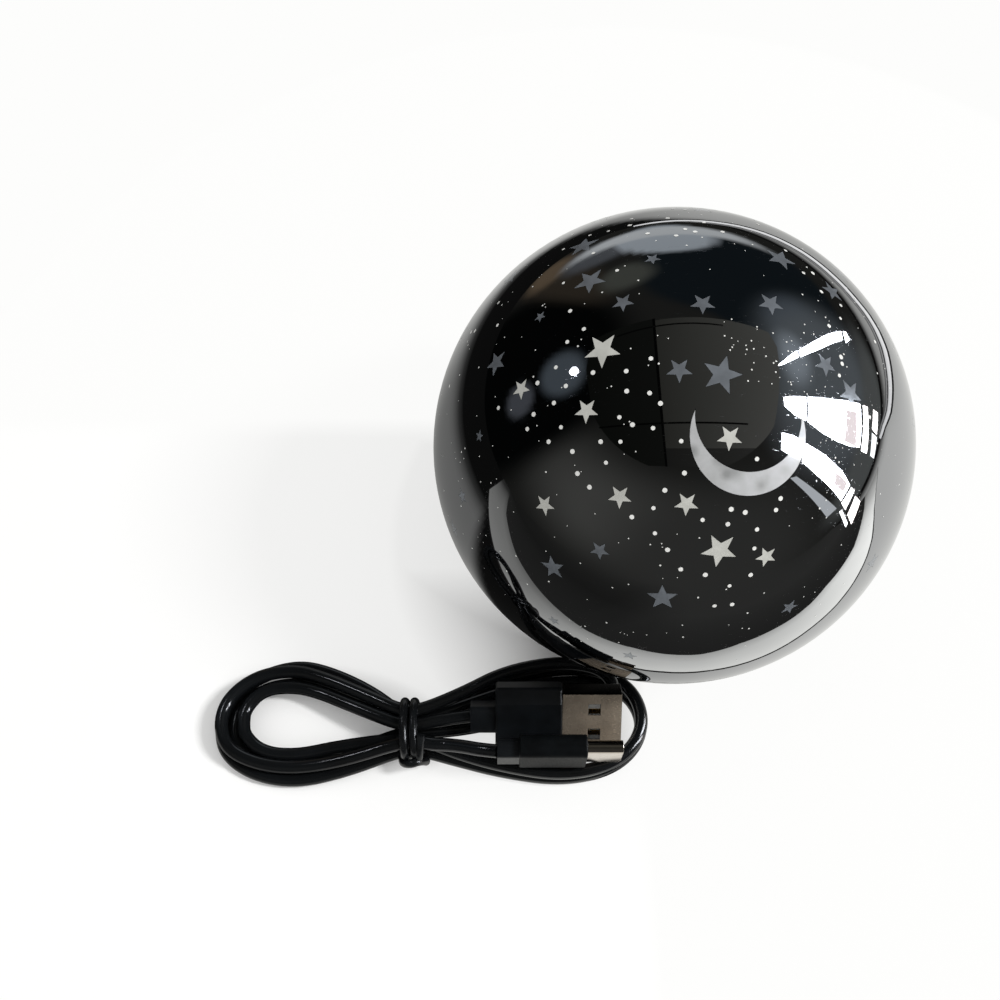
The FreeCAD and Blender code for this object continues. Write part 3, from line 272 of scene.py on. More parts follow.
# Cast epoxy of the lamps and their lens cap: pale, wet and smooth.
LED = moulded(
    "water_clear_epoxy", ("cfd2c8", "e2e5da"), patch=2, rough=(0.08, 0.14), grain=0.4, lift=0.003,
    ior=PLASTIC_IOR)
# Filled epoxy of chips and switches: a soft sooty black.
CHIP = moulded("chip_epoxy", ("151515", "202021"), patch=2, rough=(0.4, 0.52), grain=0.3, lift=0.02)

NODE_FINISHES = [
    (DOME_FILM, ["star_dome"]),
    (BRIGHT_WINDOW, ["bright_star_windows"]),
    (DIM_WINDOW, ["faint_star_windows"]),
    (MOON_WINDOW, ["moon_window"]),
    (PIANO_BLACK, ["base_shell"]),
    (MATT_BLACK, ["bottom_cover", "light_button", "spin_button", "usb_c_insert"]),
    (RUBBER, ["foot_pads"]),
    (WHITE_ABS, ["deck_plate", "dome_carrier", "lamp_holder", "lamp_post"]),
    (ACETAL, ["gearbox", "ring_gear", "thrust_washer"]),
    (BRASS, ["drive_pinion", "usb_a_contacts"]),
    (STEEL, ["drive_motor", "motor_shaft", "retaining_clip", "board_screws", "cover_screws", "deck_screws",
             "gear_screws", "motor_screws", "post_screws"]),
    (BOARD, ["lamp_board", "main_board"]),
    (CHIP, ["board_parts", "tact_switches"]),
    (LED, ["lamp_leds", "lamp_lens"]),
    (WIRE, ["lamp_wires", "motor_wires"]),
    (LEAD, ["cable_tail_a", "cable_tail_c", "usb_cable_hank", "cable_tie"]),
    (PLUG_PVC, ["usb_a_grip", "usb_a_relief", "usb_c_grip", "usb_c_relief"]),
    (PLUG_NICKEL, ["usb_a_shell", "usb_c_shell", "usb_socket_shell"]),
    (TONGUE, ["usb_a_tongue", "usb_socket_tongue"]),
]

for finish, node_names in NODE_FINISHES:
    for node_name in node_names:
        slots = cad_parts[node_name].data.materials
        slots.clear()
        slots.append(finish)


# ---- camera

# In front of the object, on its left, looking 28 degrees off straight down. Lens and sensor in mm.
CAMERA_PLACE = (-0.0315, -0.1048, 0.2131)
CAMERA_TILT = 28.0
LENS_LENGTH = 39.0
SENSOR_WIDTH = 36.0

camera = put("camera", bpy.data.cameras.new("camera"))
camera.location = CAMERA_PLACE
camera.rotation_euler = (math.radians(CAMERA_TILT), 0.0, 0.0)
camera.data.lens = LENS_LENGTH
camera.data.sensor_width = SENSOR_WIDTH
camera.data.clip_start = 5 * MM
bpy.context.scene.camera = camera


# ---- lead

# The line that the outermost turn follows, from the rear of the tie round to its front, in mm.
LEFT_RING = [
    (-57.6, -36.8), (-66.3, -32.9), (-72.9, -31.2), (-80.6, -32.9), (-86.0, -37.8), (-87.3, -43.4),
    (-85.5, -49.1), (-79.3, -53.0), (-71.0, -54.3), (-61.3, -52.2),
]
RIGHT_RING = [
    (-40.3, -50.1), (-31.2, -52.3), (-20.0, -53.9), (-10.4, -52.1), (-4.9, -47.9), (-2.9, -42.3),
    (-5.2, -36.3), (-11.0, -32.6), (-19.0, -31.3), (-30.4, -33.5), (-40.5, -38.0),
]
# How far each turn lies inside its ring, and how high, station by station, in mm.
LEFT_TURNS = [
    [(4.6, 5.4), (4.4, 3.9), (4.6, 3.6), (3.9, 3.6), (4.6, 3.5), (5.1, 3.5), (5.0, 3.4), (4.2, 3.3),
     (4.6, 3.3), (4.4, 4.0)],
    [(-0.5, 1.9), (-0.8, 1.3), (-0.6, 1.3), (0.1, 1.3), (0.3, 1.3), (0.1, 1.3), (0.0, 1.3), (0.0, 1.3),
     (0.0, 1.3), (0.0, 1.8)],
    [(3.4, 3.2), (3.2, 1.7), (3.1, 1.3), (3.0, 1.3), (2.9, 1.3), (2.8, 1.3), (2.8, 1.3), (2.8, 1.3),
     (2.8, 1.3), (3.2, 1.6)],
    [(1.5, 5.8), (1.4, 4.3), (1.2, 3.8), (0.8, 3.9), (0.5, 3.9), (0.5, 3.9), (0.9, 3.9), (1.7, 3.8),
     (2.0, 3.8), (1.2, 5.0)],
]
RIGHT_TURNS = [
    [(0.8, 4.1), (0.5, 3.9), (0.3, 3.9), (0.2, 3.9), (0.2, 3.9), (0.2, 3.9), (0.0, 3.8), (-0.1, 3.1),
     (0.0, 2.0), (0.0, 1.3), (0.0, 1.7)],
    [(0.0, 1.9), (0.0, 1.3), (0.0, 1.3), (0.0, 1.3), (0.0, 1.3), (0.0, 1.3), (0.6, 1.3), (1.9, 1.3),
     (2.7, 1.5), (2.8, 2.3), (2.3, 3.6)],
]
# The small third turn on the right, which runs under the large plug and comes back over the others.
INNER_TURN = [
    (-40.0, -44.2, 1.8), (-32.0, -42.5, 1.3), (-24.0, -42.2, 1.3), (-17.5, -43.1, 1.5),
    (-12.2, -43.5, 1.6), (-8.4, -40.1, 3.5), (-8.8, -35.8, 5.5), (-11.6, -32.9, 6.5), (-18.0, -31.8, 6.6),
    (-25.0, -32.4, 6.4), (-32.0, -34.4, 6.4), (-38.5, -38.0, 6.6),
]
# Where each pass crosses the tie, as (y, z): to the rear first, then to the front.
REAR_PASSES = [(-44.7, 7.1), (-41.6, 2.7), (-43.3, 5.0), (-42.0, 7.4)]
FRONT_PASSES = [(-46.7, 5.0), (-48.4, 2.7), (-44.9, 2.7), (-48.1, 7.2)]
TIE_SIDES = (-50.7, -47.1)
LARGE_PLUG_TAIL = [(-37.2, -43.0, 7.2), (-39.6, -43.2, 7.05), (-42.1, -43.6, 6.9), (-44.6, -43.9, 6.9)]
SMALL_PLUG_TAIL = [
    (-44.6, -48.4, 7.0), (-41.6, -48.65, 7.4), (-38.4, -49.4, 8.9), (-35.2, -50.4, 10.4),
    (-32.0, -50.9, 11.2),
]


def inset(ring, before, after, turn):
    """The ring's stations moved inwards and raised, as one turn of the lead."""
    line = [before] + ring + [after]
    stations = []
    for index, (depth, height) in enumerate(turn):
        ahead = Vector(line[index + 2]) - Vector(line[index])
        ahead.normalize()
        x = line[index + 1][0] - ahead.y * depth
        y = line[index + 1][1] + ahead.x * depth
        stations.append((x, y, height))
    return stations


def lead_route():
    """The whole lead from the large plug through its turns to the small plug, in mm."""
    left_x, right_x = TIE_SIDES
    route = list(LARGE_PLUG_TAIL)
    for turn, (rear, front) in enumerate(zip(REAR_PASSES, FRONT_PASSES)):
        route += [(right_x, *rear), (left_x, *rear)]
        route += inset(LEFT_RING, (left_x, rear[0]), (left_x, front[0]), LEFT_TURNS[turn])
        route += [(left_x, *front), (right_x, *front)]
        if turn < len(RIGHT_TURNS):
            following = REAR_PASSES[turn + 1]
            route += inset(RIGHT_RING, (right_x, front[0]), (right_x, following[0]), RIGHT_TURNS[turn])
        elif turn == len(RIGHT_TURNS):
            route += INNER_TURN
    return route + SMALL_PLUG_TAIL


def spline_curve(name, points, radius, sections=8):
    """A round cord along NURBS points given in mm."""
    made = bpy.data.curves.new(name, "CURVE")
    made.dimensions = "3D"
    line = made.splines.new("NURBS")
    line.points.add(len(points) - 1)
    for control, (x, y, z) in zip(line.points, points):
        control.co = (x * MM, y * MM, z * MM, 1.0)
    line.order_u = 3
    line.use_endpoint_u = True
    line.resolution_u = sections
    made.bevel_depth = radius
    made.bevel_resolution = 6
    made.use_fill_caps = True
    return put(name, made)


def run_length(points):
    """The length of the smooth line through NURBS points, in metres."""
    line = plain_mesh(spline_curve("length_probe", points, 0.0, 12))
    ends = [[line.vertices[end].co for end in edge.vertices] for edge in line.edges]
    return sum((first - second).length for first, second in ends)


LEAD_ROUTE = lead_route()
LEAD_LENGTH = run_length(LEAD_ROUTE)
lead = spline_curve("usb_lead", LEAD_ROUTE, CORD_DIAMETER / 2)
lead.data.materials.append(LEAD)
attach(lead, "base")
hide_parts("usb_cable_hank", "cable_tail_a", "cable_tail_c")


# ---- plugs and tie

WELD = 0.002 * MM
FLAT_ANGLE = math.radians(1)
SHARP_ANGLE = math.radians(40)
ROUNDING_SEGMENTS = 3
# The way that the large plug's broad face looks, and how nearly a part of it has to look that way.
BROAD_WAY = Vector((0.0, -0.7071, 0.7071))
BROAD_SHARE = 0.9


def softened(node_name, width, material, edge=None):
    """Stands for a hard-edged solid: a copy with rounded edges, and a darker finish off its broad face as
    painted shade.
    """
    shape = bmesh.new()
    shape.from_mesh(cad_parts[node_name].data)
    bmesh.ops.remove_doubles(shape, verts=shape.verts, dist=WELD)
    bmesh.ops.dissolve_limit(shape, angle_limit=FLAT_ANGLE, verts=shape.verts, edges=shape.edges)
    mesh = bpy.data.meshes.new(node_name + "_softened")
    shape.to_mesh(mesh)
    shape.free()
    seed = put(node_name + "_seed", mesh)
    rounding = seed.modifiers.new("rounding", "BEVEL")
    rounding.width = width
    rounding.segments = ROUNDING_SEGMENTS
    rounding.limit_method = "ANGLE"
    rounding.angle_limit = SHARP_ANGLE
    result = plain_mesh(seed)
    result.materials.clear()
    result.materials.append(material)
    # Only the small faces of the rounding are smooth, so that the broad ones stay flat.
    for face in result.polygons:
        face.use_smooth = face.area < 3 * width * width
    # Painted shade: every face but the upper broad one takes the second, darker finish.
    if edge:
        result.materials.append(edge)
        for face in result.polygons:
            face.material_index = 0 if face.normal.dot(BROAD_WAY) > BROAD_SHARE else 1
    placed = put(node_name + "_softened", result)
    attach(placed, "base")
    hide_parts(node_name)
    return placed


large_grip = softened("usb_a_grip", 0.45 * MM, PLUG_PVC)
small_grip = softened("usb_c_grip", 0.30 * MM, SMALL_PLUG_PVC)
# Two copies of the plate paint light and shade: the lighter one on the upper broad face and the darker one
# on every other face.
large_shell = softened("usb_a_shell", 0.14 * MM, PLUG_NICKEL, PLUG_SHADED_PLATE)
small_shell = softened("usb_c_shell", 0.10 * MM, SMALL_PLUG_NICKEL)

TIE_RADIUS = 0.85 * MM
TIE_WRAPS = 2
# In mm: how the tie starts at the front, one wrap round the lead's waist as (y, z), and how it ends.
TIE_START = [(-46.6, -47.4, 9.6), (-46.9, -50.0, 7.6), (-47.4, -51.3, 4.2)]
TIE_WRAP = [
    (-49.0, 0.9), (-50.6, 4.4), (-49.6, 8.4), (-45.0, 9.5), (-40.6, 8.6), (-39.2, 4.8), (-40.6, 0.9),
    (-45.0, 0.9),
]
TIE_END = [
    (-50.6, -49.6, 1.4), (-50.3, -51.3, 4.0), (-48.6, -51.9, 5.6), (-46.9, -51.2, 5.4),
    (-45.9, -50.6, 2.6),
]
# Where the first wrap lies along the lead, how far on the next one is, and how far each leans, in mm.
TIE_FIRST_X = -47.4
TIE_WRAP_STEP = 1.9
TIE_WRAP_LEAN = 0.9


def tie_route():
    """Two loose wraps round the waist of the lead, whose ends hook over each other at the front."""
    route = list(TIE_START)
    for wrap in range(TIE_WRAPS):
        for index, (y, z) in enumerate(TIE_WRAP):
            lean = TIE_WRAP_LEAN * math.sin(math.pi * index / len(TIE_WRAP))
            route.append((TIE_FIRST_X - TIE_WRAP_STEP * wrap - lean, y, z))
    return route + TIE_END


tie = spline_curve("lead_tie", tie_route(), TIE_RADIUS, 10)
tie.data.materials.append(TIE_RUBBER)
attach(tie, "base")
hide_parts("cable_tie")


# ---- dome's skin

# A face lies on the ball, outside or inside, if its corners are this equally far from the middle.
ROUND_WITHIN = 0.02 * MM


def polished(node_name):
    """A merged copy of the dome whose corners point straight out or in, so that its mirror runs true."""
    shape = bmesh.new()
    shape.from_mesh(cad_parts[node_name].data)
    bmesh.ops.remove_doubles(shape, verts=shape.verts, dist=WELD)
    mesh = bpy.data.meshes.new(node_name + "_polished")
    shape.to_mesh(mesh)
    shape.free()
    mesh.materials.clear()
    mesh.materials.append(DOME_FILM)
    corners = []
    for face in mesh.polygons:
        face.use_smooth = True
        arms = [mesh.vertices[corner].co - BALL_CENTRE for corner in face.vertices]
        reach = [arm.length for arm in arms]
        on_a_ball = max(reach) - min(reach) < ROUND_WITHIN
        outer = max(reach) > BALL_RADIUS - ROUND_WITHIN
        for arm in arms:
            side = 1.0 if outer or face.normal.dot(arm) > 0 else -1.0
            corners.append(arm.normalized() * side if on_a_ball else face.normal)
    mesh.normals_split_custom_set(corners)
    placed = put(node_name + "_polished", mesh)
    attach(placed, "dome")
    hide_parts(node_name)


polished("star_dome")


# ---- dots

# The star map's dots, as (turn from the front, rise) in degrees.
DOT_MAP = [
    (-83, 65), (-80, 61), (-72, 57), (-71, 52), (-63, 57), (-60, 63), (-49, 68), (-43, 73), (-42, 65),
    (-32, 67), (-25, 66), (-61, 53), (-63, 48), (-61, 45), (-53, 51), (-38, 60), (-32, 60), (-24, 61),
    (-53, 47), (-39, 54), (-33, 56), (-45, 49), (-34, 51), (-40, 46), (-35, 45), (-12, 60), (-9, 54),
    (-14, 50), (-16, 46), (-21, 43), (-14, 41), (-10, 38), (-6, 34), (0, 33), (6, 30), (3, 25), (7, 25),
    (11, 32), (12, 38), (10, 46), (6, 47), (16, 56), (-2, 45), (5, 44), (13, 42), (21, 47), (19, 45),
    (-73, 41),
]
MAPPED_RADII = (0.32, 0.40)
# Dots like them on the other sides: how many, and their turns, rises and radii in mm.
OTHER_DOTS = 90
OTHER_TURNS = (60, 270)
OTHER_RISES = (6, 70)
OTHER_RADII = (0.28, 0.40)
# Specks all over: how many, their heights in shares of the ball's radius, and radii in mm.
SPECKS = 420
SPECK_HEIGHTS = (0.06, 0.99)
SPECK_RADII = (0.08, 0.1, 0.12, 0.16)
# A cloud of specks at the upper right: how many, middle and spread of turns and rises, and radii.
CLOUD_SPECKS = 170
CLOUD_TURN = (38, 20)
CLOUD_RISE = (62, 9)
HIGHEST_RISE = 84
CLOUD_RADII = (0.08, 0.1, 0.13)
SCATTER_SEED = 41
WINDOW_WELD = 0.01 * MM
WINDOW_MARGIN = 0.6 * MM
DOT_PROUD = 0.015 * MM
DISC_SIDES = 12


def window_keepouts():
    """The middle and the reach of each star and of the crescent's bow, read from the windows."""
    found = []
    for window in ("bright_star_windows", "faint_star_windows", "moon_window"):
        loose = bmesh.new()
        loose.from_mesh(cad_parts[window].data)
        bmesh.ops.remove_doubles(loose, verts=loose.verts, dist=WINDOW_WELD)
        left = set(loose.verts)
        while left:
            island, edge = set(), [left.pop()]
            while edge:
                vertex = edge.pop()
                island.add(vertex)
                for link in vertex.link_edges:
                    other = link.other_vert(vertex)
                    if other in left:
                        left.discard(other)
                        edge.append(other)
            middle = sum((vertex.co for vertex in island), Vector()) / len(island)
            found.append((middle, WINDOW_MARGIN + max((vertex.co - middle).length for vertex in island)))
        loose.free()
    return found


WINDOW_KEEPOUTS = window_keepouts()


def clear_of_windows(place):
    """Whether a point lies clear of the stars and the crescent."""
    return all((place - centre).length > reach for centre, reach in WINDOW_KEEPOUTS)


def dot_places():
    """Every dot as (point, radius): the mapped ones, the others, the specks and the cloud of specks."""
    chance = random.Random(SCATTER_SEED)
    places = [(from_centre(*spot), chance.uniform(*MAPPED_RADII) * MM) for spot in DOT_MAP]
    scatter = []
    for _ in range(OTHER_DOTS):
        turn, rise = chance.uniform(*OTHER_TURNS), chance.uniform(*OTHER_RISES)
        scatter.append((turn, rise, chance.uniform(*OTHER_RADII)))
    for _ in range(SPECKS):
        rise = math.degrees(math.asin(chance.uniform(*SPECK_HEIGHTS)))
        scatter.append((chance.uniform(-180, 180), rise, chance.choice(SPECK_RADII)))
    for _ in range(CLOUD_SPECKS):
        turn, rise = chance.gauss(*CLOUD_TURN), min(chance.gauss(*CLOUD_RISE), HIGHEST_RISE)
        scatter.append((turn, rise, chance.choice(CLOUD_RADII)))
    for turn, rise, radius in scatter:
        place = from_centre(turn, rise)
        if clear_of_windows(place):
            places.append((place, radius * MM))
    return places


def dots_tree():
    """Sets a thin disc on every point, turned to the ball, at the point's own size."""
    tree = bpy.data.node_groups.new("window_dots", "GeometryNodeTree")
    tree.is_modifier = True
    sockets = tree.interface
    sockets.new_socket("Geometry", in_out="INPUT", socket_type="NodeSocketGeometry")
    sockets.new_socket("Disc Sides", in_out="INPUT", socket_type="NodeSocketInt").default_value = DISC_SIDES
    sockets.new_socket("Finish", in_out="INPUT", socket_type="NodeSocketMaterial")
    sockets.new_socket("Geometry", in_out="OUTPUT", socket_type="NodeSocketGeometry")
    entry = node(tree, "NodeGroupInput").outputs
    disc = node(tree, "GeometryNodeMeshCircle", {
        "Vertices": entry["Disc Sides"], "Radius": 1.0}, fill_type="NGON")
    outward = node(tree, "GeometryNodeInputNamedAttribute", {"Name": "outward"}, data_type="FLOAT_VECTOR")
    size = node(tree, "GeometryNodeInputNamedAttribute", {"Name": "dot_radius"}, data_type="FLOAT")
    turned = node(tree, "FunctionNodeAlignRotationToVector", {
        "Vector": outward.outputs["Attribute"]}, axis="Z")
    scattered = node(tree, "GeometryNodeInstanceOnPoints", {
        "Points": entry["Geometry"], "Instance": disc, "Rotation": turned,
        "Scale": size.outputs["Attribute"]})
    real = node(tree, "GeometryNodeRealizeInstances", {"Geometry": scattered})
    painted = node(tree, "GeometryNodeSetMaterial", {"Geometry": real, "Material": entry["Finish"]})
    node(tree, "NodeGroupOutput", {"Geometry": painted})
    return tree


def grown(name, mesh, tree, values):
    """A plain mesh object made by a Geometry Nodes tree on a starting mesh."""
    seed = put(name + "_seed", mesh)
    growth = seed.modifiers.new("growth", "NODES")
    growth.node_group = tree
    for item in tree.interface.items_tree:
        if item.item_type == "SOCKET" and item.in_out == "INPUT" and item.name in values:
            growth[item.identifier] = values[item.name]
    result = plain_mesh(seed)
    result.name = name
    return put(name, result)


def window_dots():
    """The clear dots all over the dome, as one piece just proud of its film."""
    places = dot_places()
    lift = 1 + DOT_PROUD / BALL_RADIUS
    seed = bpy.data.meshes.new("dot_places")
    seed.from_pydata([BALL_CENTRE + (place - BALL_CENTRE) * lift for place, radius in places], [], [])
    radii = seed.attributes.new("dot_radius", "FLOAT", "POINT")
    outwards = seed.attributes.new("outward", "FLOAT_VECTOR", "POINT")
    for index, (place, radius) in enumerate(places):
        radii.data[index].value = radius
        outwards.data[index].vector = (place - BALL_CENTRE).normalized()
    return grown("window_dots", seed, dots_tree(), {"Finish": DOT_WINDOW, "Disc Sides": DISC_SIDES})


dots = window_dots()
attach(dots, "dome")


# ---- stage

def stage_mesh(name, points, faces, material):
    """A stage object from points and faces, with its material."""
    made = bpy.data.meshes.new(name)
    made.from_pydata(points, [], faces)
    made.materials.append(material)
    placed = put(name, made)
    return placed


def only_in_reflections(placed):
    """Keeps a stage object out of everything but mirror reflections."""
    placed.visible_camera = False
    placed.visible_diffuse = False
    placed.visible_transmission = False
    placed.visible_volume_scatter = False
    placed.visible_shadow = False


def ring_faces(rings, sides):
    """The faces between closed rings of points, ring by ring."""
    faces = []
    for ring in range(rings - 1):
        for side in range(sides):
            after = (side + 1) % sides
            faces.append((ring * sides + side, (ring + 1) * sides + side,
                          (ring + 1) * sides + after, ring * sides + after))
    return faces


def strip_faces(columns, rows):
    """The faces of an open strip of points, column by column."""
    faces = []
    for column in range(columns - 1):
        for row in range(rows - 1):
            at = column * rows + row
            faces.append((at, at + 1, at + rows + 1, at + rows))
    return faces


def ease(value, start, end):
    """0 at start and before it, 1 at end and after it, and a soft rise between them."""
    share = min(max((value - start) / (end - start), 0.0), 1.0)
    return share * share * (3 - 2 * share)


def blend(under, over, share):
    """One tint laid over another by a share."""
    return tuple(a + (b - a) * share for a, b in zip(under, over))


# Where the paper glows: what it follows, its share before and after the rise, and the rise's ends in mm.
PAPER_GLOW = {
    "round the ball": ("reach", 0.0, 0.74, 34, 56),
    "past the left loop": ("pool", 0.15, 1.0, 11, 16),
    "far off": ("reach", 0.0, 1.0, 112, 165),
    "beside the lead": ("y", 0.0, 0.66, -26, -8),
    "to the right": ("x", 0.0, 0.95, -20, -2),
    "behind the ball": ("y", 0.0, 0.95, 6, 30),
}
# The left loop's pool of shadow is an oval: its middle in mm, and how much x is narrowed to measure it.
POOL_MIDDLE = (-76, -45)
POOL_SQUEEZE = 0.45
WHITE_PAPER = "fdfdfc"
FLOOR_REACH = 6


def paper():
    """Matt paper. It also glows to the camera, least near the object, so that shadows stay short."""
    made, tree, place = blank("seamless_paper")
    spot = node(tree, "ShaderNodeSeparateXYZ", {"Vector": place}).outputs
    reach = node(tree, "ShaderNodeVectorMath", {0: place}, operation="LENGTH").outputs["Value"]
    narrowed = node(tree, "ShaderNodeVectorMath", {
        0: place, 1: (POOL_SQUEEZE, 1.0, 1.0)}, operation="MULTIPLY")
    pool_middle = (POOL_MIDDLE[0] * POOL_SQUEEZE * MM, POOL_MIDDLE[1] * MM, 0.0)
    pool = node(tree, "ShaderNodeVectorMath", {0: narrowed, 1: pool_middle}, operation="DISTANCE")
    follows = {"reach": reach, "pool": pool.outputs["Value"], "x": spot["X"], "y": spot["Y"]}
    shares = []
    for followed, low, high, start, end in PAPER_GLOW.values():
        shares.append(node(tree, "ShaderNodeMapRange", {
            "Value": follows[followed], "From Min": start * MM, "From Max": end * MM,
            "To Min": low, "To Max": high}))
    total = node(tree, "ShaderNodeMath", {0: shares[0], 1: shares[1]}, operation="MULTIPLY")
    for share in shares[2:]:
        total = node(tree, "ShaderNodeMath", {0: total, 1: share}, operation="MAXIMUM")
    to_camera = node(tree, "ShaderNodeLightPath").outputs["Is Camera Ray"]
    shown = node(tree, "ShaderNodeMath", {0: total, 1: to_camera}, operation="MULTIPLY")
    skin = node(tree, "ShaderNodeBsdfDiffuse", {"Color": linear("fcfcfb")})
    white = node(tree, "ShaderNodeEmission", {"Color": linear(WHITE_PAPER)})
    both = node(tree, "ShaderNodeMixShader", {0: shown, 1: skin, 2: white})
    node(tree, "ShaderNodeOutputMaterial", {"Surface": both})
    return made


def glow(name, code, strength):
    """An even glow."""
    made, tree, _ = blank(name)
    light = node(tree, "ShaderNodeEmission", {"Color": linear(code), "Strength": strength})
    node(tree, "ShaderNodeOutputMaterial", {"Surface": light})
    return made


def tinted_glow():
    """A glow in the mesh's own tints."""
    made, tree, _ = blank("tinted_glow")
    tint = node(tree, "ShaderNodeAttribute", attribute_name="tint")
    light = node(tree, "ShaderNodeEmission", {"Color": tint.outputs["Color"]})
    node(tree, "ShaderNodeOutputMaterial", {"Surface": light})
    return made


TINTED_GLOW = tinted_glow()


def tinted(name, points, faces, tints):
    """A stage mesh that only mirrors show, glowing in the tint of each of its points."""
    placed = stage_mesh(name, points, faces, TINTED_GLOW)
    layer = placed.data.color_attributes.new("tint", "FLOAT_COLOR", "POINT")
    for index, tint in enumerate(tints):
        layer.data[index].color = (*tint[:3], 1.0)
    only_in_reflections(placed)


floor_corners = [(x * FLOOR_REACH, y * FLOOR_REACH, 0) for x, y in ((-1, -1), (1, -1), (1, 1), (-1, 1))]
stage_mesh("floor", floor_corners, [(0, 1, 2, 3)], paper())

# The room: its distance in metres, its lowest rise in degrees, and its points' rings and sides.
ROOM_DISTANCE = 0.60
ROOM_LOWEST = -9
ROOM_RINGS = 60
ROOM_SIDES = 144
ROOM_SHADE = "282826"

# The room's soft regions: turn, rise, half width and half height in degrees, edge softness, tint.
ROOM_REGIONS = [
    (-36, 21, 34, 19, 0.7, "565653"),   # grey wall at the front left
    (14, 10, 40, 30, 0.5, "40403e"),    # paler wall straight in front
    (-110, 18, 34, 46, 0.2, "070808"),  # dark at the left
    (-105, 38, 9, 10, 0.3, "575f66"),   # shine round the lamp
    (-100, 17, 6, 7, 0.3, "575a60"),    # lamp's second shine
    (146, 32, 38, 27, 0.08, "191f23"),  # dark blue corner at the rear right
    (128, 34, 8, 10, 0.6, "4c5560"),    # soft light in that corner
    (-150, 16, 8, 22, 0.4, "3b352d"),   # brown wood behind on the left
    (-153, 2, 8, 6, 0.4, "6f604e"),     # warm foot
    (-165, 10, 12, 8, 0.3, "5d6064"),   # grey thing beside it
    (178, 12, 13, 12, 0.12, "b9c1c8"),  # pale arch behind
    (178, 6, 24, 4, 0.3, "d8dcde"),     # bright lower edge
    (-163, 33, 9, 7, 0.4, "53554f"),    # dull patch over it
    (98, 28, 30, 26, 0.35, "6a7074"),   # wall round the window
    (92, 2, 30, 7, 0.3, "646766"),      # wall under the window
    (108, 42, 9, 6, 0.6, "a3acb4"),     # glow over the window
]


def room_tint(turn, rise):
    """The tint of the dim room in one direction."""
    tint = linear(ROOM_SHADE)
    for middle, height, half_width, half_height, softness, code in ROOM_REGIONS:
        across = (turn - middle + 180) % 360 - 180
        across *= math.cos(math.radians(min(rise, 80)))
        reach = math.hypot(across / half_width, (rise - height) / half_height)
        tint = blend(tint, linear(code), 1 - ease(reach, 1 - softness, 1 + softness))
    return tint


def dim_room():
    """The dim room over the object, as a hemisphere that only mirrors show."""
    points, tints = [], []
    for ring in range(ROOM_RINGS + 1):
        for side in range(ROOM_SIDES):
            turn = 360 * side / ROOM_SIDES
            rise = ROOM_LOWEST + (90 - ROOM_LOWEST) * ring / ROOM_RINGS
            points.append(from_centre(turn, rise, ROOM_DISTANCE))
            tints.append(room_tint(turn, rise))
    tinted("dim_room", points, ring_faces(ROOM_RINGS + 1, ROOM_SIDES), tints)


CEILING_HEIGHT = 0.45
# The ceiling's panels and the dark joints under them, in shares of its height over the ball's middle:
# low x, high x, low y, high y, then the drop in metres and the tints at the left and at the right.
CEILING_PANELS = [
    (-0.85, -0.20, -0.80, 0.52, 0.0, "131412", "191a18"),
    (-0.20, 0.80, -0.60, 0.50, 0.0, "383834", "60605c"),
    (-0.20, 0.80, -0.80, -0.60, 0.0, "262624", "3c3c3a"),
    (-0.205, -0.185, -0.80, 0.52, 0.002, "060606", "0b0b0b"),
    (-0.85, 0.50, -0.375, -0.36, 0.003, "050505", "0a0a0a"),
    (-0.50, 0.30, 0.425, 0.44, 0.003, "0a0a0a", "0d0d0d"),
]


def ceiling():
    """The ceiling's panels and joints, as the dome mirrors them."""
    points, faces, tints = [], [], []
    for low_x, high_x, low_y, high_y, drop, left, right in CEILING_PANELS:
        at = len(points)
        corners = [
            (low_x, low_y, left), (high_x, low_y, right), (high_x, high_y, right), (low_x, high_y, left)]
        for x, y, code in corners:
            points.append((x * CEILING_HEIGHT, y * CEILING_HEIGHT, BALL_CENTRE.z + CEILING_HEIGHT - drop))
            tints.append(linear(code))
        faces.append((at, at + 1, at + 2, at + 3))
    tinted("ceiling", points, faces, tints)


dim_room()
ceiling()

# The mirrored sheets lie over each other just above the floor.
TABLE_LEVEL = 0.30 * MM
STRIP_LEVEL = 0.45 * MM
REAR_LEVEL = 0.60 * MM
TABLE_SIDES = 240
TABLE_DARKEST = 0.008
TABLE_WARMTH = (1.0, 1.0, 0.97)
# The table's light at the left, what the right adds to it, what of that is lost behind the ball, and the
# x and the y in mm between which that happens.
LEFT_LIGHT = 0.24
RIGHT_GAIN = 0.62
BEHIND_LOSS = 0.3
RIGHT_SPAN = (-70, 60)
BEHIND_SPAN = (30, 130)
# A paler patch behind the ball, on the left: its light, its middle and where it fades, in mm.
PATCH_LIGHT = 0.35
PATCH_MIDDLE = (-20, 95)
PATCH_FADE = (20, 90)
# How far the light reaches at the left, in mm, and how much further at the right.
LIGHT_REACH = 170
REACH_GAIN = 330
# The ball's overhang shades the front left quarter, behind a line that leans to the left.
SHADE_LINE = -16
SHADE_LEAN = 0.17
SHADE_SOFTNESS = 10
SHADE_SIDE = (-5, -22)
SHADE_FADE = (80, 150)
SHADE_DEPTH = 0.97
# The table's rings in mm from the middle, close together where its light changes most.
TABLE_REACHES = [
    20, 28, 33, 38, 43, 48, 53, 58, 64, 70, 77, 85, 95, 107, 120, 135, 150, 175, 200, 240, 290, 350,
    420, 500, 600, 900,
]


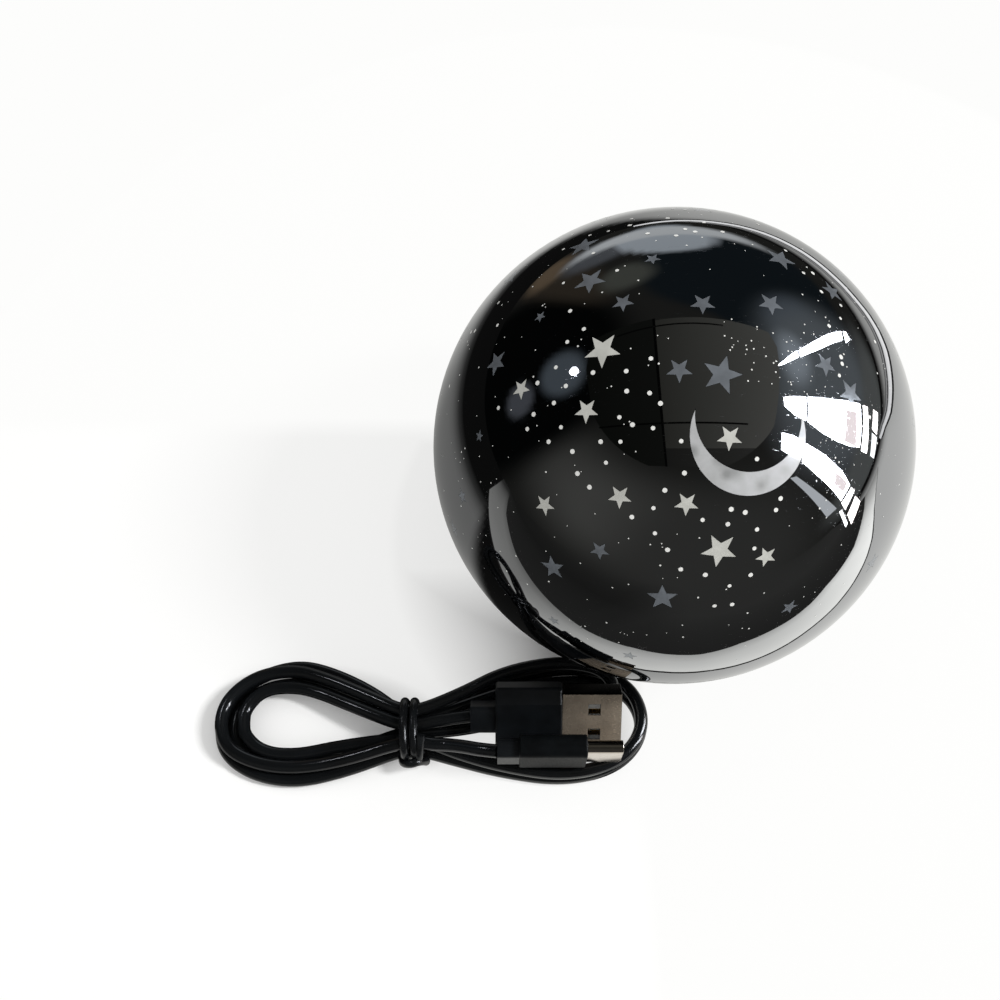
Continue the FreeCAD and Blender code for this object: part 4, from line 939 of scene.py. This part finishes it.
def table_tint(x, y):
    """The light on the table at a point in mm: bright to the right, dim to the left, dark far off."""
    right = ease(x, *RIGHT_SPAN)
    behind = ease(y, *BEHIND_SPAN)
    level = LEFT_LIGHT + RIGHT_GAIN * right - BEHIND_LOSS * behind * right
    level += PATCH_LIGHT * (1 - ease(math.dist((x, y), PATCH_MIDDLE), *PATCH_FADE))
    limit = LIGHT_REACH + REACH_GAIN * right
    level *= 1 - ease(math.hypot(x, y), limit * 0.6, limit)
    line = SHADE_LINE + SHADE_LEAN * min(x, 0)
    shade = ease(x, *SHADE_SIDE) * ease(y, line + SHADE_SOFTNESS, line) * (1 - ease(-y, *SHADE_FADE))
    level *= 1 - SHADE_DEPTH * shade
    return tuple(max(level, TABLE_DARKEST) * share for share in TABLE_WARMTH)


def mirrored_table():
    """The table round the object, as the dome mirrors it."""
    points, tints = [], []
    for reach in TABLE_REACHES:
        for side in range(TABLE_SIDES):
            turn = 2 * math.pi * side / TABLE_SIDES
            x, y = reach * math.sin(turn), -reach * math.cos(turn)
            points.append((x * MM, y * MM, TABLE_LEVEL))
            tints.append(table_tint(x, y))
    tinted("mirrored_table", points, ring_faces(len(TABLE_REACHES), TABLE_SIDES), tints)


mirrored_table()

# The bright strip along the table's front edge, as (x, far edge y, near edge y) in mm.
FRONT_STRIP = [
    (-640, -118, -176), (-480, -88, -140), (-330, -60, -105), (-218, -38, -82), (-116, -42, -72),
    (-77, -44, -73), (-53, -47, -74), (-37, -48, -74), (-13, -54, -77), (0, -55, -76), (13, -54, -75),
    (32, -50, -78), (48, -47, -77), (61, -43, -75), (76, -40, -74), (95, -38, -75), (118, -38, -71),
    (145, -40, -67), (189, -42, -69), (260, -36, -72), (360, -16, -80),
]
# The strip's light at its left end, and its changes along x: how much, and from where to where in mm.
STRIP_START = 0.02
STRIP_CHANGES = [(0.34, -560, -110), (0.72, -80, 10), (0.78, 10, 125), (-1.4, 130, 360)]
# The rows across the strip: which edge each follows (0 far, 1 near), how far off it in mm, its share of the
# strip's light, and its own tone.
STRIP_ROWS = [
    (0, 1.3, 0.0, 0.02), (0, -0.2, 0.0, 0.02), (0, -0.6, 1.08, 0.0), (1, 9, 0.92, 0.0),
    (1, 0, 0.66, 0.0), (1, -0.3, 0.0, 0.03),
]
# The dark in front of the strip fans out into the room: its rows as (y in metres, share of its tint),
# how much wider the last one is, and the rise at which the room's tint is taken.
DARK_START = -0.08
DARK_ROWS = [(-0.16, 0.0), (-0.26, 0.25), (-0.40, 0.65), (-0.62, 1.0)]
DARK_WIDENING = 1.2
DARK_RISE = -2


def strip_light(x):
    """The light on the strip: dim at the left, brightest before the window, and fading beyond it."""
    return STRIP_START + sum(change * ease(x, start, end) for change, start, end in STRIP_CHANGES)


def front_strip():
    """The bright strip, the thin dark edge behind it and the dark in front of it."""
    points, tints = [], []
    for x, *edges in FRONT_STRIP:
        light = strip_light(x)
        for edge, off, share, dark in STRIP_ROWS:
            tone = dark + light * share
            points.append((x * MM, (edges[edge] + off) * MM, STRIP_LEVEL))
            tints.append((tone, tone, tone * 0.96))
        tone = 0.02 + 0.03 * ease(x, -60, 20)
        for y, share in DARK_ROWS:
            widening = 1 + DARK_WIDENING * (DARK_START - y) / (DARK_START - DARK_ROWS[-1][0])
            wide_x = x * widening * MM
            beyond = room_tint(math.degrees(math.atan2(wide_x, -y)), DARK_RISE)
            points.append((wide_x, y, STRIP_LEVEL))
            tints.append(blend((tone, tone, tone * 0.95), beyond[:3], share))
    tinted("front_strip", points, strip_faces(len(FRONT_STRIP), len(points) // len(FRONT_STRIP)), tints)


front_strip()

# The table's rear edge as the dome shows it: a black line with a bright one beyond it, as (x, y) in mm.
REAR_EDGE = [
    (430, 40), (352, 58), (248, 64), (202, 74), (164, 81), (136, 84), (124, 92), (122, 104), (127, 122),
    (124, 148), (112, 172), (104, 210), (98, 270), (90, 340), (70, 390), (30, 440), (-20, 470),
]
# The tones across the rear edge, as (share of the way further out, tone).
REAR_TONES = [
    (0.0, 0.02), (0.09, 0.02), (0.1, 1.5), (0.30, 1.2), (0.36, 0.05), (0.42, 0.03), (0.44, 0.6),
    (0.5, 0.4), (0.62, 0.05),
]


def rear_edge():
    """The black line and the bright line along the table's rear edge."""
    points, tints = [], []
    for x, y in REAR_EDGE:
        for share, tone in REAR_TONES:
            points.append((x * (1 + share) * MM, y * (1 + share) * MM, REAR_LEVEL))
            tints.append((tone, tone, tone))
    tinted("rear_edge", points, strip_faces(len(REAR_EDGE), len(REAR_TONES)), tints)


rear_edge()

PANE_DISTANCE = 0.27
BLUSH_DISTANCE = 0.266
PANE_STEPS_ACROSS = 6
PANE_STEPS_ALONG = 5
# The glows of the panes, as (strength, tint).
DAYLIGHT = (24, "f4f8ff")
WARM_SIDE = (16, "fff8f6")
WARM_END = (10, "fff8f6")
BLUSH = (2.4, "ece0e0")

# The window's panes and the lamp: a glow and two long edges, as (turn, rise) in degrees.
WINDOW_PANES = {
    "strip_tip": (DAYLIGHT,
        [(101.0, 53.3), (104.0, 50.8), (107.5, 47.2), (110.2, 43.0)],
        [(100.7, 53.2), (102.0, 50.8), (104.4, 47.3), (106.7, 43.4)]),
    "strip_run": (DAYLIGHT,
        [(110.4, 42.2), (115.0, 33.2), (118.3, 24.5), (120.4, 15.6)],
        [(106.9, 42.4), (111.4, 32.5), (114.8, 24.4), (117.2, 17.2)]),
    "strip_end": (DAYLIGHT, [(120.5, 14.5), (120.6, 12.8)], [(116.4, 15.9), (118.0, 12.6)]),
    "upper_tip": (DAYLIGHT,
        [(81.5, 51.0), (84.8, 46.6), (87.2, 41.6)],
        [(76.8, 49.6), (75.4, 44.4), (76.2, 39.2)]),
    "upper_run": (DAYLIGHT,
        [(87.6, 40.7), (90.1, 34.7), (92.3, 28.3), (94.8, 21.3), (96.8, 14.1)],
        [(76.4, 38.2), (76.6, 30.2), (78.4, 22.6), (81.0, 15.6), (83.9, 10.4)]),
    "upper_side": (WARM_SIDE, [(97.2, 12.3), (97.9, 9.6)], [(83.5, 9.0), (84.8, 5.5)]),
    "upper_end": (WARM_END, [(98.9, 5.7), (99.3, 2.6)], [(92.9, 5.4), (93.0, 2.0)]),
    "upper_low": ((4, "f4f6f8"), [(91.9, 5.2), (92.4, 1.6)], [(85.6, 3.0), (86.4, 0.2)]),
    "lower_tip": (DAYLIGHT,
        [(63.0, 46.1), (66.0, 41.6), (67.7, 36.4)],
        [(56.1, 42.2), (58.0, 37.4), (60.7, 33.0)]),
    "lower_run": (DAYLIGHT,
        [(67.6, 35.4), (70.3, 25.6), (72.2, 14.1), (72.1, 7.0)],
        [(60.4, 32.2), (62.3, 23.5), (64.8, 13.6), (66.1, 6.4)]),
    "lower_side": (WARM_SIDE, [(72.3, 5.7), (72.9, 3.3)], [(66.0, 5.3), (66.5, 1.6)]),
    "lower_end": ((10, "fff4f0"), [(72.4, 1.2), (73.6, -3.0)], [(66.8, -1.2), (67.5, -6.5)]),
    "lower_low": ((10, "f4f6f8"), [(65.2, 2.8), (66.0, -4.5)], [(63.9, 3.4), (64.8, -5.0)]),
    "sill": ((1.5, "c8ccd0"),
        [(54.5, 29.9), (58.9, 18.5), (63.4, 5.6)],
        [(51.5, 31.4), (55.0, 20.0), (58.4, 6.3)]),
    "lamp": ((24, "f4f6ff"),
        [(-103.6, 43.3), (-105.2, 44.4), (-105.1, 45.9), (-103.3, 47.0)],
        [(-102.0, 43.3), (-100.6, 44.4), (-100.1, 45.9), (-101.4, 47.0)]),
}
# The faint blushes just in front of two panes.
PANE_BLUSHES = {
    "upper_blush": (BLUSH, [(91.2, 21.7), (93.2, 16.1)], [(80.6, 19.2), (82.8, 12.3)]),
    "lower_blush": (BLUSH, [(69.8, 16.8), (71.6, 8.8)], [(66.6, 14.2), (68.3, 8.0)]),
}


def pane(name, light, first, second, distance):
    """One pane of the window: a curved strip between its two long edges."""
    strength, code = light
    directions = [[from_centre(*spot, 1.0) - BALL_CENTRE for spot in edge] for edge in (first, second)]
    points = []
    columns = 0
    for index in range(len(first) - 1):
        last = index == len(first) - 2
        for step in range(PANE_STEPS_ALONG + 1 if last else PANE_STEPS_ALONG):
            share = step / PANE_STEPS_ALONG
            near, far = [edge[index].lerp(edge[index + 1], share) for edge in directions]
            for row in range(PANE_STEPS_ACROSS + 1):
                points.append(BALL_CENTRE + near.lerp(far, row / PANE_STEPS_ACROSS).normalized() * distance)
            columns += 1
    faces = strip_faces(columns, PANE_STEPS_ACROSS + 1)
    only_in_reflections(stage_mesh("pane_" + name, points, faces, glow(name + "_light", code, strength)))


for pane_name, (light, first, second) in WINDOW_PANES.items():
    pane(pane_name, light, first, second, PANE_DISTANCE)
for pane_name, (light, first, second) in PANE_BLUSHES.items():
    pane(pane_name, light, first, second, BLUSH_DISTANCE)


# ---- lights

# The light's place, aim and size in metres, its power in watts, and the even light of the sky.
WINDOW_LIGHT_PLACE = Vector((0.64, -0.07, 0.74))
WINDOW_LIGHT_AIM = Vector((0.0, 0.0, 0.03))
WINDOW_LIGHT_POWER = 6.9
WINDOW_LIGHT_SIZE = (0.13, 0.24)
SKY_STRENGTH = 0.70


def window_light():
    """The soft light from the window. Mirrors don't show it, because the panes stand there for it."""
    lamp = bpy.data.lights.new("window_light", "AREA")
    lamp.shape = "RECTANGLE"
    lamp.size, lamp.size_y = WINDOW_LIGHT_SIZE
    lamp.energy = WINDOW_LIGHT_POWER
    placed = put("window_light", lamp)
    placed.location = WINDOW_LIGHT_PLACE
    placed.rotation_euler = (WINDOW_LIGHT_AIM - WINDOW_LIGHT_PLACE).to_track_quat("-Z", "Y").to_euler()
    placed.visible_glossy = False


def studio_world():
    """An even white sky at a plain level, which the camera, metal and glass see as the paper's white."""
    world = bpy.data.worlds.new("studio")
    world.use_nodes = True
    sky = world.node_tree
    sky.nodes.clear()
    level = node(sky, "ShaderNodeBackground", {"Color": (1, 1, 1, 1), "Strength": SKY_STRENGTH})
    white = node(sky, "ShaderNodeBackground", {"Color": linear(WHITE_PAPER)})
    ray = node(sky, "ShaderNodeLightPath").outputs
    seen = node(sky, "ShaderNodeMath", {
        0: ray["Is Camera Ray"], 1: ray["Is Glossy Ray"]}, operation="MAXIMUM")
    shown = node(sky, "ShaderNodeMath", {0: seen, 1: ray["Is Transmission Ray"]}, operation="MAXIMUM")
    both = node(sky, "ShaderNodeMixShader", {0: shown, 1: level, 2: white})
    node(sky, "ShaderNodeOutputWorld", {"Surface": both})
    bpy.context.scene.world = world


window_light()
studio_world()
bpy.context.scene.view_settings.view_transform = "Standard"
